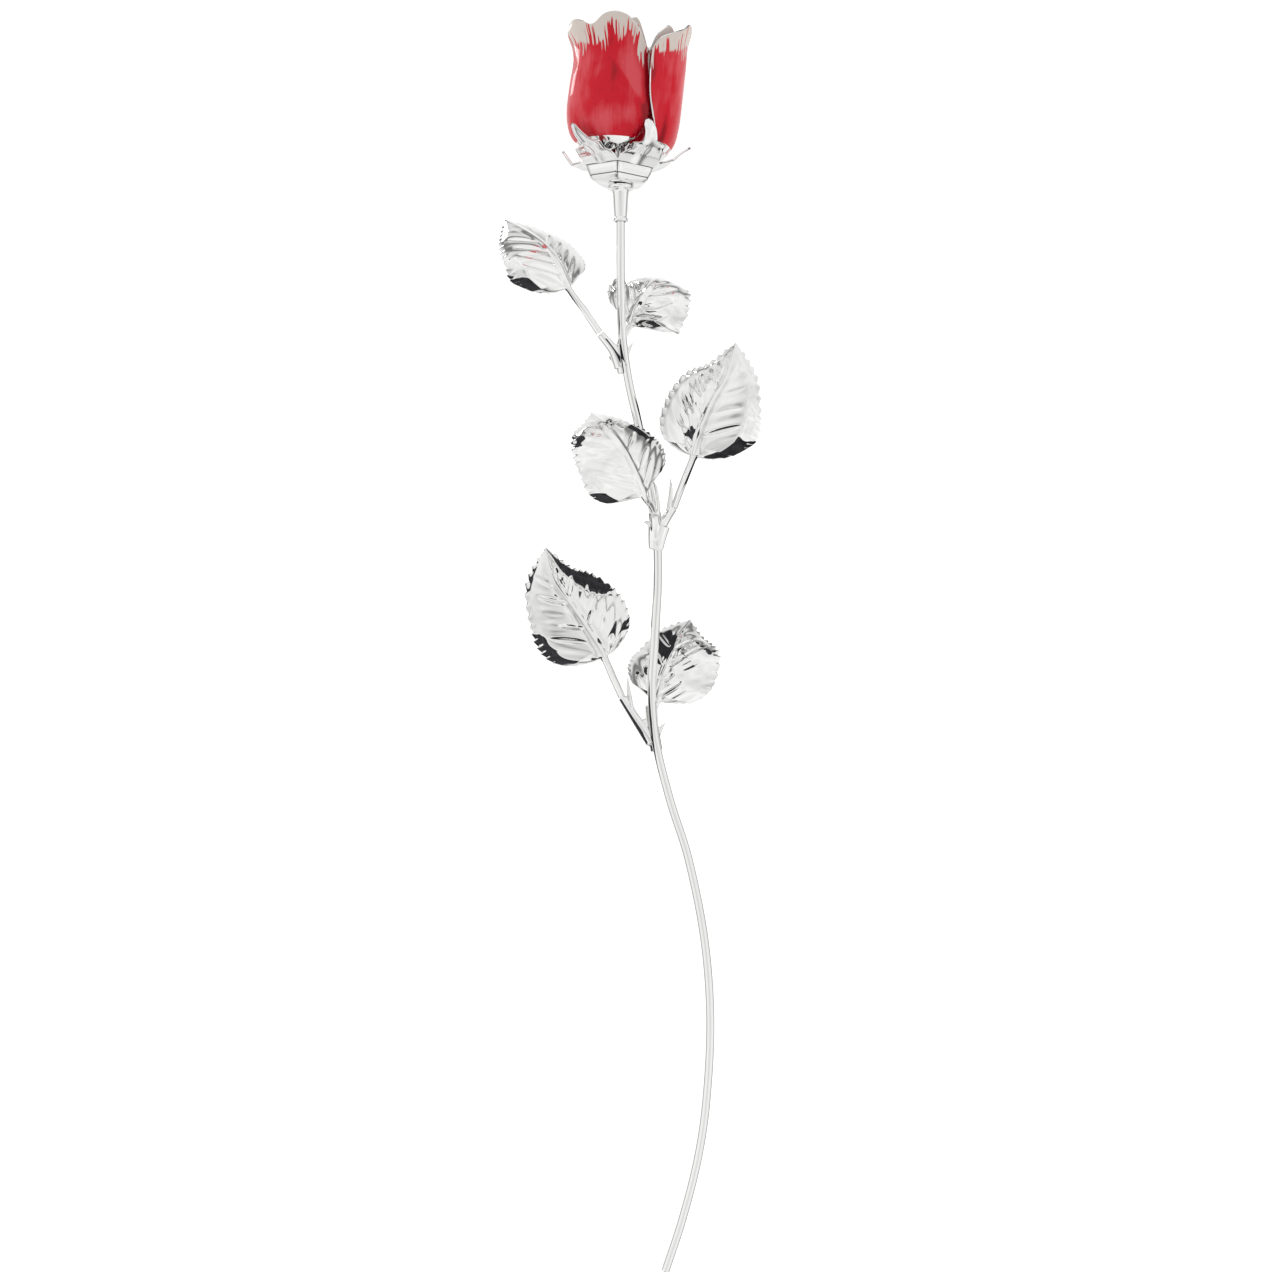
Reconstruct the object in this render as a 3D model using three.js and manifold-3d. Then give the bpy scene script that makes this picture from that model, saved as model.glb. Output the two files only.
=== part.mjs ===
import * as THREE from "three";
import { mergeVertices } from "three/addons/utils/BufferGeometryUtils.js";
import Module from "manifold-3d";

// A silver-plated metal rose with enamelled petals, lying on a table.
// Lengths are in millimetres. +Y runs from the cut end of the stem to the bloom, +X is to the right
// of someone who looks down on the rose, and +Z is up from the table.

// Middle of the rose's box, in the coordinates of the routes below
const BOX_MIDDLE = [1.41, -4.3];

// Stem: one round rod in a slow double bend, from the cut end up to the foot of the bloom
const STEM_RADIUS = 1.55;
const STEM_SIDES = 10;
const STEM_STEPS = 58;
const STEM_ROUTE = [
  [13.7, -224.7, 1.54], [19.7, -206, 3.4], [25.1, -184.3, 5.7], [28.2, -162.6, 8.2], [29.5, -133.9, 11.3],
  [27.4, -105.3, 14], [21.8, -76.9, 16.4], [15.2, -55.7, 18.2], [10.1, -34.6, 19.8], [8.8, -17, 21],
  [9.8, 1.2, 22.1], [10.9, 21.5, 23.1], [10.4, 38.9, 23.9], [8.1, 56.4, 24.6], [4.5, 73.8, 25.2],
  [0.6, 91.2, 25.6], [-1.5, 106.9, 25.8], [-2, 122.6, 25.8], [-2.1, 136.6, 25.75], [-2.1, 148, 25.2],
  [-2.1, 154.2, 24.65],
];
const RUNNING_GAP = 0.3;

// Sides of the turned pieces
const TURNED_SIDES = 24;

// Head: its origin is the middle of the calyx floor, and its axis leans right and sinks to the tip
const HEAD_ORIGIN = [-2.6, 159.36, 24.2];
const HEAD_LEAN = 3.6;
const HEAD_SINK = 5.1;

// Ferrule: a turned cone that joins the stem to the calyx, as radius and height from its foot
const FERRULE_FOOT = [-2.1, 146.4, 25.35];
const FERRULE_BORE = STEM_RADIUS + RUNNING_GAP;
const FERRULE_PROFILE = [
  [FERRULE_BORE, 0], [2.6, 0], [2.75, 0.5], [2.6, 1.1], [2.35, 1.5], [2.9, 10.2], [3.3, 11],
  [4.6, 11.5], [4.9, 12.1], [4.6, 12.7], [FERRULE_BORE, 12.7],
];

// Calyx: a five-armed blank folded up into a pentagonal cup, with a toothed sepal on each side
const SHEET = 0.7;
const SIDES = 5;
const CALYX_TURN = -4;
const CUP_ROWS = [
  // corner radius, height, share of the pentagon in the outline
  [2, 0, 0], [4.6, 0, 0], [9.6, 0.6, 0.8], [11, 1.6, 1], [12.2, 4, 1], [13.1, 6.4, 1],
];
const CUP_COLUMNS_PER_SIDE = 4;
const SEPAL_CROWN = 0.3;
const SEPAL_OUTLINE = [
  // share of the length from the cup, half-width on the notched side and on the broad side
  [0, 7.2, 7.2], [0.12, 7.4, 7.8], [0.22, 6.2, 8], [0.3, 4.8, 7.6], [0.38, 5.2, 7], [0.44, 5.6, 6.4],
  [0.49, 2.9, 6.6], [0.54, 2.6, 2.8], [0.66, 2.2, 2.3], [0.8, 1.9, 1.9], [0.92, 1.5, 1.5], [1, 0.6, 0.6],
];
const SEPALS = {
  // knots of azimuth from the upper side, radius and height
  front_left: { broad: -1, knots: [[-36, 10.2, 5.8], [-36, 13.4, 8.4], [-38, 18, 11], [-44, 20.6, 14.2],
    [-49, 21.6, 17.4]] },
  front_right: { broad: 1, knots: [[36, 10.2, 5.8], [36, 13.4, 8.6], [36, 18.2, 12], [33, 20.6, 15.6],
    [27, 21.6, 19]] },
  side_left: { broad: -1, knots: [[-108, 10.2, 5.8], [-108, 13.6, 7], [-107, 17.4, 7.2],
    [-104, 19.6, 9.6], [-102, 21.4, 12.2]] },
  side_right: { broad: 1, knots: [[108, 10.2, 5.8], [109, 13.8, 8.2], [110, 18, 10.4],
    [111, 21.2, 13.6], [112, 25, 16.8]] },
  back: { broad: 1, knots: [[180, 10.2, 5.8], [180, 13.4, 8.4], [179, 17.8, 11.6], [177, 19.8, 15],
    [176, 20.2, 18]] },
};

// Receptacle: the turned boss in the cup that carries the petals, with a stud down into the ferrule
const STUD_RADIUS = 1.1;
const RECEPTACLE_PROFILE = [
  [0, -3.2], [STUD_RADIUS, -3.2], [STUD_RADIUS, 1], [5.2, 1], [5.7, 2.4], [5.3, 4.8], [3.4, 6.6], [0, 7.2],
];

// Petals: pressed and enamelled sheets round the head's axis, each narrowing to a claw at its foot
const PETAL_SHEET = 0.8;
const PETAL_COLUMNS = 10;
const PETAL_LEVELS = [0, 0.09, 0.17, 0.2, 0.23, 0.28, 0.36, 0.47, 0.62, 0.76, 0.88, 1];
const CLAW_HEIGHT = 3;
const TUCK_POWER = 4;
const OUTER_SPREAD = [[0, 0.2], [0.165, 0.24], [0.2, 0.55], [0.24, 0.72], [0.28, 0.87], [0.36, 0.95],
  [0.47, 1], [1, 1]];
const INNER_SPREAD = [[0, 0.32], [0.12, 0.36], [0.2, 0.6], [0.32, 0.9], [0.47, 1], [1, 1]];
const INNER_PROFILE = [[3, 6.5], [6, 7.2], [9, 8.8], [12, 10.8], [16, 13], [22, 15], [30, 16.2],
  [42, 16.6], [56, 17.4]];
const PETALS = {
  // azimuth of the middle and half the span in degrees, how far each side edge stands off the profile,
  // share of the span at each level, radius of the profile at each height, and height of the crest
  // across the petal
  outer_left: {
    centre: -35, halfSpan: 63, tuck: [0, -1], spread: OUTER_SPREAD,
    profile: [[3, 7], [6.5, 9], [9.5, 12], [12, 14.6], [15, 17.2], [19, 19.2], [25, 20.1], [34, 19.6],
      [43, 18.8], [48, 19.6], [52, 21.6], [56, 22]],
    crest: [[-1, 45], [-0.82, 50], [-0.62, 53.6], [-0.42, 54.8], [-0.2, 53.4], [0, 51.6], [0.18, 54.6],
      [0.35, 55.5], [0.53, 54.4], [0.65, 52], [0.75, 49.4], [0.9, 45], [1, 41.5]],
  },
  outer_right: {
    centre: 88, halfSpan: 62, tuck: [0.5, 0],
    spread: [[0, 0.2], [0.14, 0.3], [0.2, 0.58], [0.24, 0.68], [0.31, 0.78], [0.41, 0.87], [0.6, 0.98],
      [0.8, 1.02], [1, 1.02]],
    profile: [[3, 7], [6.5, 9.4], [9, 12.6], [11, 15.2], [15.7, 18.2], [21, 19.4], [27, 20], [42, 20.8],
      [50, 21], [57, 22]],
    crest: [[-1, 44], [-0.87, 48.3], [-0.55, 52.2], [-0.34, 54.7], [-0.2, 57], [0, 55.6], [0.3, 53.4],
      [0.65, 54], [1, 47]],
  },
  outer_back: {
    centre: 205, halfSpan: 53, tuck: [0, 0], spread: OUTER_SPREAD,
    profile: [[3, 7], [6.5, 9], [9.5, 11.6], [12, 14], [16, 17], [22, 18.9], [29, 19.8], [44, 19.3],
      [58, 19.7]],
    crest: [[-1, 48], [-0.6, 54], [-0.2, 53], [0.2, 56], [0.6, 54], [1, 47]],
  },
  inner_front: {
    centre: 27, halfSpan: 55, tuck: [0, 0], spread: INNER_SPREAD, profile: INNER_PROFILE,
    crest: [[-1, 46], [-0.64, 52], [-0.36, 55], [-0.26, 54], [-0.14, 49.6], [0, 44.6], [0.16, 50],
      [0.33, 53], [0.53, 55], [0.78, 53], [1, 46]],
  },
  inner_right: {
    centre: 148, halfSpan: 55, tuck: [0, 0], spread: INNER_SPREAD, profile: INNER_PROFILE,
    crest: [[-1, 44], [-0.4, 52], [0.1, 54], [0.5, 52], [1, 43]],
  },
  inner_left: {
    centre: 267, halfSpan: 55, tuck: [0, 0], spread: INNER_SPREAD, profile: INNER_PROFILE,
    crest: [[-1, 43], [-0.4, 51], [0.1, 53], [0.5, 52], [1, 44]],
  },
};

// Bud core: one petal rolled up in the middle of the bloom
const CORE_TURNS = 1.6;
const CORE_OUTER = 10.5;
const CORE_INNER = 3.4;
const CORE_SCALE = [[7.6, 0.34], [14, 0.55], [24, 0.86], [36, 1], [50, 0.84]];
const CORE_COLUMNS = 26;
const CORE_ROWS = 6;
const CORE_RIM_WAVE = 3;
const CORE_RIM_TURNS = 9;

// Leaves: six blades off one pressing tool, each bent its own way, with a channelled stalk
const LEAF_TEETH = 20;
const TEETH_FROM = 0.03;
const TEETH_TO = 0.95;
const TOOTH_OUT = 0.8;
const TOOTH_FORWARD = 0.7;
const STALK_HALF_WIDTH = 1.7;
const STALK_KNOTS = 2;
const STALK_ROWS = 6;
const STALK_BEND = 1.25;
const BLADE_BEND = 0.5;
const BEND_CHANGE = 0.08;
const RIM_START = 0.7;
const RIM_DROP = 0.11;
const BLADE_OUTLINE = [
  // share of the length from the stalk, share of the half-width
  [0, 0.11], [0.015, 0.34], [0.05, 0.56], [0.12, 0.79], [0.21, 0.94], [0.33, 1], [0.48, 0.97], [0.6, 0.87],
  [0.72, 0.67], [0.82, 0.44], [0.9, 0.24], [0.96, 0.1], [1, 0.02],
];
const LENGTH_STEPS = 60;
const MARGIN_SAMPLES = 400;
const LEAF_COLUMNS = [-1, -0.68, -0.14, 0, 0.14, 0.68, 1];
const VEIN_PITCH = 6.2;
const VEIN_SLANT = 0.75;
const VEIN_HEIGHT = 0.55;
const VEINS_FROM = 0.06;
const VEINS_TO = 0.9;
const VEINS_FADE = 0.15;
const MIDRIB_HEIGHT = 0.5;
const MIDRIB_HALF_WIDTH = 0.1;
const LEAVES = {
  // greatest half-width, and knots of x, y, z and roll in degrees (right side down) from the root of
  // the stalk to the tip
  leaf_c_left: {
    halfWidth: 17.8,
    knots: [[-1.9, -19.2, 16.6, 0], [-4.8, -13, 14, 0], [-8, -5.4, 11.7, 8], [-13.2, 3.3, 11.15, 13],
      [-18.8, 11.8, 10.95, 16], [-25.7, 21.8, 10.15, 15], [-28.9, 33, 8.1, 10]],
  },
  leaf_c_right: {
    halfWidth: 18.8,
    knots: [[8.7, -26.8, 16.4, 0], [9.3, -23.8, 16.2, -12], [10.2, -21, 16.4, -24],
      [12.2, -12.6, 17.7, -33], [15.4, -4.6, 15.8, -35], [18.6, 2.6, 10.6, -33], [22.4, 7.6, 4.4, -30]],
  },
  leaf_b_left: {
    halfWidth: 18.5,
    knots: [[9.55, 44.3, 29.2, 0], [8.5, 47.3, 33.6, 12], [6.4, 50.4, 38, 22], [2.8, 58.8, 42, 33],
      [-1.9, 67.6, 42, 35], [-8.2, 75.8, 36, 34], [-12.4, 80, 22, 26]],
  },
  leaf_b_right: {
    halfWidth: 18.7,
    knots: [[16.6, 47.1, 20.9, 0], [19.9, 56.3, 16.7, -6], [23.4, 65.6, 13.9, -14], [26.3, 75.6, 13.2, -20],
      [30.4, 84.9, 12.8, -20], [35.7, 94.6, 12, -20], [38.7, 105.6, 9.8, -14]],
  },
  leaf_a_left: {
    halfWidth: 18,
    knots: [[-9.4, 107.5, 27, 0], [-14.2, 115, 28.8, 16], [-19.8, 123.2, 29.6, 36], [-23.4, 131.2, 30, 46],
      [-28.2, 137.8, 28, 50], [-35.4, 143.8, 22, 50], [-42.8, 148.8, 13, 46]],
  },
  leaf_a_right: {
    halfWidth: 18.8,
    knots: [[-2.68, 103.3, 21.6, 0], [-1, 107.5, 20.6, -12], [1, 111.2, 20.2, -26], [2.9, 116.6, 23, -36],
      [6.4, 122, 24.6, -39], [10.5, 127, 20.5, -40], [13.2, 129, 6, -40]],
  },
};

// Collars: cast cradles soldered to one side of the stem, each with two arms that carry the leaf stalks,
// and thorn-like bracts. `from` and `to` are shares of the stem's route, and `aside` is the way that the
// cradle stands off it.
const CRADLE_RADIUS = 2.2;
const ROD_SIDES = 8;
const ROD_STEPS = 4;
const ROOM_PAST_END = 0.03;
const ROOM_STEPS = 8;
const ROOM_SIDES = 12;
const ARM_TIP = 1.5;
const BRACT_ROOT = 1.2;
const BRACT_TIP = 0.25;
const COLLARS = {
  collar_c: {
    from: 0.39, to: 0.435, aside: [-0.4, 0, -1.5],
    arms: [
      [[8.8, -35.6, 18.8], [4, -28.4, 18.4], [-1.7, -19.6, 16.8]],
      [[9.2, -35, 18.2], [8.8, -31, 17.4], [8.65, -27.15, 16.55]],
    ],
    bracts: [
      [[10, -35, 18.4], [12, -30.6, 18.6], [13.6, -28.6, 18.8]],
      [[1.6, -24, 18], [0.6, -17, 18], [0.3, -12.6, 18.4]],
    ],
  },
  collar_b: {
    from: 0.583, to: 0.618, aside: [0, 0, 1.4],
    arms: [
      [[10.2, 36, 25.6], [10.1, 40, 26.7], [9.65, 43.9, 28.7]],
      [[10.2, 36, 25.4], [13, 41.6, 24.4], [16.3, 46.6, 21.3]],
    ],
    bracts: [
      [[10, 38, 26], [7.6, 41.2, 26.4], [5.9, 41.6, 26.6]],
      [[10.6, 41, 25.6], [10.8, 49, 27], [10.1, 55, 27.6]],
      [[14.6, 44, 22.8], [15.4, 52, 22.4], [15.3, 57, 22.4]],
    ],
  },
  collar_a: {
    from: 0.757, to: 0.79, aside: [-1.3, 0, -0.9],
    arms: [
      [[-2.2, 95.5, 24.8], [-4.6, 101.5, 25.6], [-9.15, 107.2, 26.85]],
      [[-2, 96, 24.2], [-2.8, 99.6, 22.8], [-2.7, 102.95, 21.7]],
    ],
    bracts: [[[-1.2, 98, 24], [0.8, 102, 23.6], [2.2, 104.4, 23.6]]],
  },
};

const wasm = await Module();
wasm.setup();

const finishes = {
  silver: () => new THREE.MeshStandardMaterial({ color: 0xe9e9e6, roughness: 0.12, metalness: 1 }),
  enamel: () => new THREE.MeshStandardMaterial({ color: 0xc31f2e, roughness: 0.18, metalness: 0.1 }),
};

function radians(degrees) {
  return (degrees * Math.PI) / 180;
}

// Value of a smooth curve through knots of position and value
function smoothValue(knots, position) {
  const last = knots.length - 1;
  let at = 0;
  while (at < last - 1 && position > knots[at + 1][0]) at += 1;
  const slope = (k) => {
    const a = knots[Math.max(k - 1, 0)];
    const b = knots[Math.min(k + 1, last)];
    return (b[1] - a[1]) / (b[0] - a[0]);
  };
  const [x0, y0] = knots[at];
  const [x1, y1] = knots[at + 1];
  const span = x1 - x0;
  const t = Math.min(Math.max((position - x0) / span, 0), 1);
  const rise = t * t * (3 - 2 * t);
  return (
    y0 + (y1 - y0) * rise + span * (slope(at) * t * (1 - t) * (1 - t) - slope(at + 1) * t * t * (1 - t))
  );
}

// Smooth space curve through knots
function routeCurve(knots) {
  const points = knots.map(([x, y, z]) => new THREE.Vector3(x, y, z));
  return new THREE.CatmullRomCurve3(points, false, "catmullrom", 0.5);
}

// Manifold solid of a closed geometry
function solidOf(geometry) {
  const bare = geometry.clone();
  bare.deleteAttribute("normal");
  bare.deleteAttribute("uv");
  const merged = mergeVertices(bare, 1e-4);
  return new wasm.Manifold(
    new wasm.Mesh({
      numProp: 3,
      vertProperties: merged.attributes.position.array,
      triVerts: new Uint32Array(merged.index.array),
    }),
  );
}

// Geometry of a manifold solid
function geometryOf(solid) {
  const { numProp, numVert, vertProperties, triVerts } = solid.getMesh();
  const positions = new Float32Array(numVert * 3);
  for (let i = 0; i < numVert; i += 1) {
    positions.set(vertProperties.subarray(i * numProp, i * numProp + 3), i * 3);
  }
  const geometry = new THREE.BufferGeometry();
  geometry.setAttribute("position", new THREE.BufferAttribute(positions, 3));
  geometry.setIndex(new THREE.BufferAttribute(triVerts, 1));
  geometry.computeVertexNormals();
  return geometry;
}

// Closed sheet between two grids of points, with walls round its edge.
// A ring's last column meets its first.
// Both faces are split into triangles alike, so that they stay the same distance apart.
function sheetGeometry(upper, lower, ring = false) {
  const rows = upper.length;
  const columns = upper[0].length;
  const spans = ring ? columns : columns - 1;
  const positions = [upper, lower].flatMap((face) => face.flatMap((row) => row.flatMap((p) => p.toArray())));
  const top = (i, j) => i * columns + (j % columns);
  const under = (i, j) => rows * columns + top(i, j);
  const index = [];
  const quad = (a, b, c, d) => index.push(a, b, c, a, c, d);
  for (let i = 0; i < rows - 1; i += 1) {
    for (let j = 0; j < spans; j += 1) {
      quad(top(i, j), top(i, j + 1), top(i + 1, j + 1), top(i + 1, j));
      index.push(under(i, j), under(i + 1, j + 1), under(i, j + 1));
      index.push(under(i, j), under(i + 1, j), under(i + 1, j + 1));
    }
  }
  for (let j = 0; j < spans; j += 1) {
    quad(top(0, j + 1), top(0, j), under(0, j), under(0, j + 1));
    quad(top(rows - 1, j), top(rows - 1, j + 1), under(rows - 1, j + 1), under(rows - 1, j));
  }
  for (let i = 0; i < rows - 1 && !ring; i += 1) {
    quad(top(i, 0), top(i + 1, 0), under(i + 1, 0), under(i, 0));
    quad(top(i + 1, spans), top(i, spans), under(i, spans), under(i + 1, spans));
  }
  const geometry = new THREE.BufferGeometry();
  geometry.setAttribute("position", new THREE.Float32BufferAttribute(positions, 3));
  geometry.setIndex(index);
  geometry.computeVertexNormals();
  return geometry;
}

// Rod along a curve with a radius that changes from its root to its tip
function taperedRod(curve, radiusAt, steps, sides) {
  const frames = curve.computeFrenetFrames(steps, false);
  const positions = [];
  for (let i = 0; i <= steps; i += 1) {
    const centre = curve.getPointAt(i / steps);
    const radius = radiusAt(i / steps);
    for (let j = 0; j < sides; j += 1) {
      const angle = (2 * Math.PI * j) / sides;
      const point = centre
        .clone()
        .addScaledVector(frames.normals[i], radius * Math.cos(angle))
        .addScaledVector(frames.binormals[i], radius * Math.sin(angle));
      positions.push(...point.toArray());
    }
  }
  const index = [];
  const ringVertex = (i, j) => i * sides + (j % sides);
  for (let i = 0; i < steps; i += 1) {
    for (let j = 0; j < sides; j += 1) {
      index.push(ringVertex(i, j), ringVertex(i, j + 1), ringVertex(i + 1, j + 1));
      index.push(ringVertex(i, j), ringVertex(i + 1, j + 1), ringVertex(i + 1, j));
    }
  }
  for (let j = 1; j < sides - 1; j += 1) {
    index.push(ringVertex(0, 0), ringVertex(0, j + 1), ringVertex(0, j));
    index.push(ringVertex(steps, 0), ringVertex(steps, j), ringVertex(steps, j + 1));
  }
  const geometry = new THREE.BufferGeometry();
  geometry.setAttribute("position", new THREE.Float32BufferAttribute(positions, 3));
  geometry.setIndex(index);
  geometry.computeVertexNormals();
  return geometry;
}

function turned(profile) {
  const points = profile.map(([radius, height]) => new THREE.Vector2(radius, height));
  const closed = profile[0][0] === 0 ? points : [...points, points[0]];
  return new THREE.LatheGeometry(closed, TURNED_SIDES);
}

// Round bar along a curve
function bar(curve, radius, steps, sides) {
  const section = new THREE.Shape().absarc(0, 0, radius, 0, 2 * Math.PI);
  return new THREE.ExtrudeGeometry(section, { steps, curveSegments: sides / 2, extrudePath: curve });
}

// Place, direction, right side and face of a leaf's midrib
function midribFrame(curve, rolls, share) {
  const along = curve.getTangent(share);
  const level = new THREE.Vector3(0, 0, 1).addScaledVector(along, -along.z).normalize();
  const right = along.clone().cross(level);
  const roll = radians(smoothValue(rolls, share));
  return {
    origin: curve.getPoint(share),
    along,
    side: right.clone().multiplyScalar(Math.cos(roll)).addScaledVector(level, -Math.sin(roll)),
    face: level.clone().multiplyScalar(Math.cos(roll)).addScaledVector(right, Math.sin(roll)),
  };
}

// Shares of the blade's length that cut its margin into equal steps
function marginStations(length, widest, count) {
  const samples = MARGIN_SAMPLES;
  const reach = [0];
  for (let i = 1; i <= samples; i += 1) {
    const rise = smoothValue(BLADE_OUTLINE, i / samples) - smoothValue(BLADE_OUTLINE, (i - 1) / samples);
    reach.push(reach[i - 1] + Math.hypot(length / samples, widest * rise));
  }
  const stations = [];
  for (let k = 0; k <= count; k += 1) {
    const wanted = (reach[samples] * k) / count;
    const found = reach.findIndex((r) => r >= wanted);
    const i = found < 0 ? samples : Math.max(found, 1);
    stations.push((i - 1 + (wanted - reach[i - 1]) / (reach[i] - reach[i - 1])) / samples);
  }
  return stations;
}

// Height of the pressed relief over the plain blade, at a share of its length and of its half-width
function relief(share, across, length, halfWidth) {
  const vein = (share * length - across * halfWidth * VEIN_SLANT) / VEIN_PITCH;
  const ends = Math.min(share / VEINS_FROM, 1, Math.max((VEINS_TO - share) / VEINS_FADE, 0));
  const ridges = VEIN_HEIGHT * Math.cos(2 * Math.PI * vein) * Math.sin(Math.PI * across);
  const rib = MIDRIB_HEIGHT * Math.max(1 - across / MIDRIB_HALF_WIDTH, 0);
  return ends * ridges + rib * (1 - share);
}

// One row of points across a leaf, on its face and on its back
function leafRow(frame, share, length, halfWidth, bend, rimDrop, tooth) {
  const face = [];
  const back = [];
  for (const column of LEAF_COLUMNS) {
    const across = Math.abs(column);
    const turn = bend * across;
    const rim = Math.max((across - RIM_START) / (1 - RIM_START), 0);
    const margin = across === 1 ? tooth : 0;
    const out = (halfWidth * Math.sin(turn)) / bend + margin * TOOTH_OUT;
    const drop = (halfWidth * (1 - Math.cos(turn))) / bend + rimDrop * halfWidth * rim * rim;
    const slope = Math.tan(turn) + (rimDrop * 2 * rim) / (1 - RIM_START);
    const normal = frame.face
      .clone()
      .addScaledVector(frame.side, slope * Math.sign(column))
      .normalize();
    const point = frame.origin
      .clone()
      .addScaledVector(frame.side, out * Math.sign(column))
      .addScaledVector(frame.face, -drop)
      .addScaledVector(frame.along, margin * TOOTH_FORWARD)
      .addScaledVector(normal, share > 0 ? relief(share, across, length, halfWidth) : 0);
    face.push(point);
    back.push(point.clone().addScaledVector(normal, -SHEET));
  }
  return [face, back];
}

function leafGeometry({ halfWidth: widest, knots }) {
  const curve = routeCurve(knots);
  const last = knots.length - 1;
  const rolls = knots.map((knot, i) => [i / last, knot[3]]);
  const bladeStart = STALK_KNOTS / last;
  const bladePoint = (share) => curve.getPoint(bladeStart + (1 - bladeStart) * share);
  let length = 0;
  for (let i = 0; i < LENGTH_STEPS; i += 1) {
    length += bladePoint(i / LENGTH_STEPS).distanceTo(bladePoint((i + 1) / LENGTH_STEPS));
  }
  const face = [];
  const back = [];
  const addRow = (row) => {
    face.push(row[0]);
    back.push(row[1]);
  };
  for (let i = 0; i < STALK_ROWS; i += 1) {
    const frame = midribFrame(curve, rolls, (bladeStart * i) / STALK_ROWS);
    addRow(leafRow(frame, 0, length, STALK_HALF_WIDTH, STALK_BEND, 0, 0));
  }
  marginStations(length, widest, 2 * LEAF_TEETH).forEach((share, i) => {
    const frame = midribFrame(curve, rolls, bladeStart + (1 - bladeStart) * share);
    const halfWidth = widest * smoothValue(BLADE_OUTLINE, share);
    const spread = Math.min(share / BEND_CHANGE, 1);
    const bend = STALK_BEND + (BLADE_BEND - STALK_BEND) * spread;
    const tooth = i % 2 === 1 && share > TEETH_FROM && share < TEETH_TO ? 1 : 0;
    addRow(leafRow(frame, share, length, halfWidth, bend, RIM_DROP * spread, tooth));
  });
  return sheetGeometry(face, back);
}

// Point of the head, from its azimuth in degrees from the upper side, radius and height
function headPoint(azimuth, radius, height) {
  const angle = radians(azimuth);
  return new THREE.Vector3(radius * Math.sin(angle), height, radius * Math.cos(angle));
}

function petalGeometry({ centre, halfSpan, tuck, spread, profile, crest }) {
  const outside = [];
  const inside = [];
  for (const level of PETAL_LEVELS) {
    const outer = [];
    const inner = [];
    for (let j = 0; j <= PETAL_COLUMNS; j += 1) {
      const across = (2 * j) / PETAL_COLUMNS - 1;
      const height = CLAW_HEIGHT + (smoothValue(crest, across) - CLAW_HEIGHT) * level;
      const edge = tuck[across < 0 ? 0 : 1] * across ** TUCK_POWER;
      const radius = smoothValue(profile, height) + edge;
      const lean = Math.atan(smoothValue(profile, height + 0.5) - smoothValue(profile, height - 0.5));
      const azimuth = centre + halfSpan * smoothValue(spread, level) * across;
      outer.push(headPoint(azimuth, radius, height));
      inner.push(
        headPoint(azimuth, radius - PETAL_SHEET * Math.cos(lean), height + PETAL_SHEET * Math.sin(lean)),
      );
    }
    outside.push(outer);
    inside.push(inner);
  }
  return sheetGeometry(outside, inside);
}

function coreGeometry() {
  const outside = [];
  const inside = [];
  const low = CORE_SCALE[0][0];
  const high = CORE_SCALE[CORE_SCALE.length - 1][0];
  for (let i = 0; i <= CORE_ROWS; i += 1) {
    const outer = [];
    const inner = [];
    for (let j = 0; j <= CORE_COLUMNS; j += 1) {
      const turn = j / CORE_COLUMNS;
      const height = low + ((high - CORE_RIM_WAVE * Math.cos(turn * CORE_RIM_TURNS) - low) * i) / CORE_ROWS;
      const scale = smoothValue(CORE_SCALE, height);
      const radius = (CORE_OUTER + (CORE_INNER - CORE_OUTER) * turn) * scale;
      const azimuth = 360 * CORE_TURNS * turn;
      outer.push(headPoint(azimuth, radius, height));
      inner.push(headPoint(azimuth, radius - PETAL_SHEET, height));
    }
    outside.push(outer);
    inside.push(inner);
  }
  return sheetGeometry(outside, inside);
}

// Radius of a regular pentagon with a corner on the upper side, over its corner radius
function pentagon(azimuth) {
  const side = 360 / SIDES;
  const fromMiddle = (((azimuth % side) + side) % side) - side / 2;
  return Math.cos(Math.PI / SIDES) / Math.cos(radians(fromMiddle));
}

function cupGeometry() {
  const columns = SIDES * CUP_COLUMNS_PER_SIDE;
  const outside = [];
  const inside = [];
  CUP_ROWS.forEach(([corner, height, share], i) => {
    const [r0, h0] = CUP_ROWS[Math.max(i - 1, 0)];
    const [r1, h1] = CUP_ROWS[Math.min(i + 1, CUP_ROWS.length - 1)];
    const lean = Math.atan2(h1 - h0, r1 - r0);
    const outer = [];
    const inner = [];
    for (let j = 0; j < columns; j += 1) {
      const azimuth = (360 * j) / columns;
      const round = 1 + share * (pentagon(azimuth) - 1);
      outer.push(headPoint(azimuth, corner * round, height));
      inner.push(
        headPoint(azimuth, (corner - SHEET * Math.sin(lean)) * round, height + SHEET * Math.cos(lean)),
      );
    }
    outside.push(outer);
    inside.push(inner);
  });
  return sheetGeometry(outside, inside, true);
}

function sepalGeometry({ broad, knots }) {
  const curve = routeCurve(knots.map((knot) => headPoint(...knot).toArray()));
  const outside = [];
  const inside = [];
  for (const [share, notched, full] of SEPAL_OUTLINE) {
    const origin = curve.getPoint(share);
    const along = curve.getTangent(share);
    const away = new THREE.Vector3(origin.x, 0, origin.z).normalize();
    away.y = -1;
    const normal = away.addScaledVector(along, -away.dot(along)).normalize();
    const side = along.clone().cross(normal);
    const outer = [];
    const inner = [];
    for (const across of broad < 0 ? [-full, 0, notched] : [-notched, 0, full]) {
      const crown = across === 0 ? SEPAL_CROWN : 0;
      const point = origin.clone().addScaledVector(side, across).addScaledVector(normal, crown);
      outer.push(point);
      inner.push(point.clone().addScaledVector(normal, -SHEET));
    }
    outside.push(outer);
    inside.push(inner);
  }
  return sheetGeometry(outside, inside);
}

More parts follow.
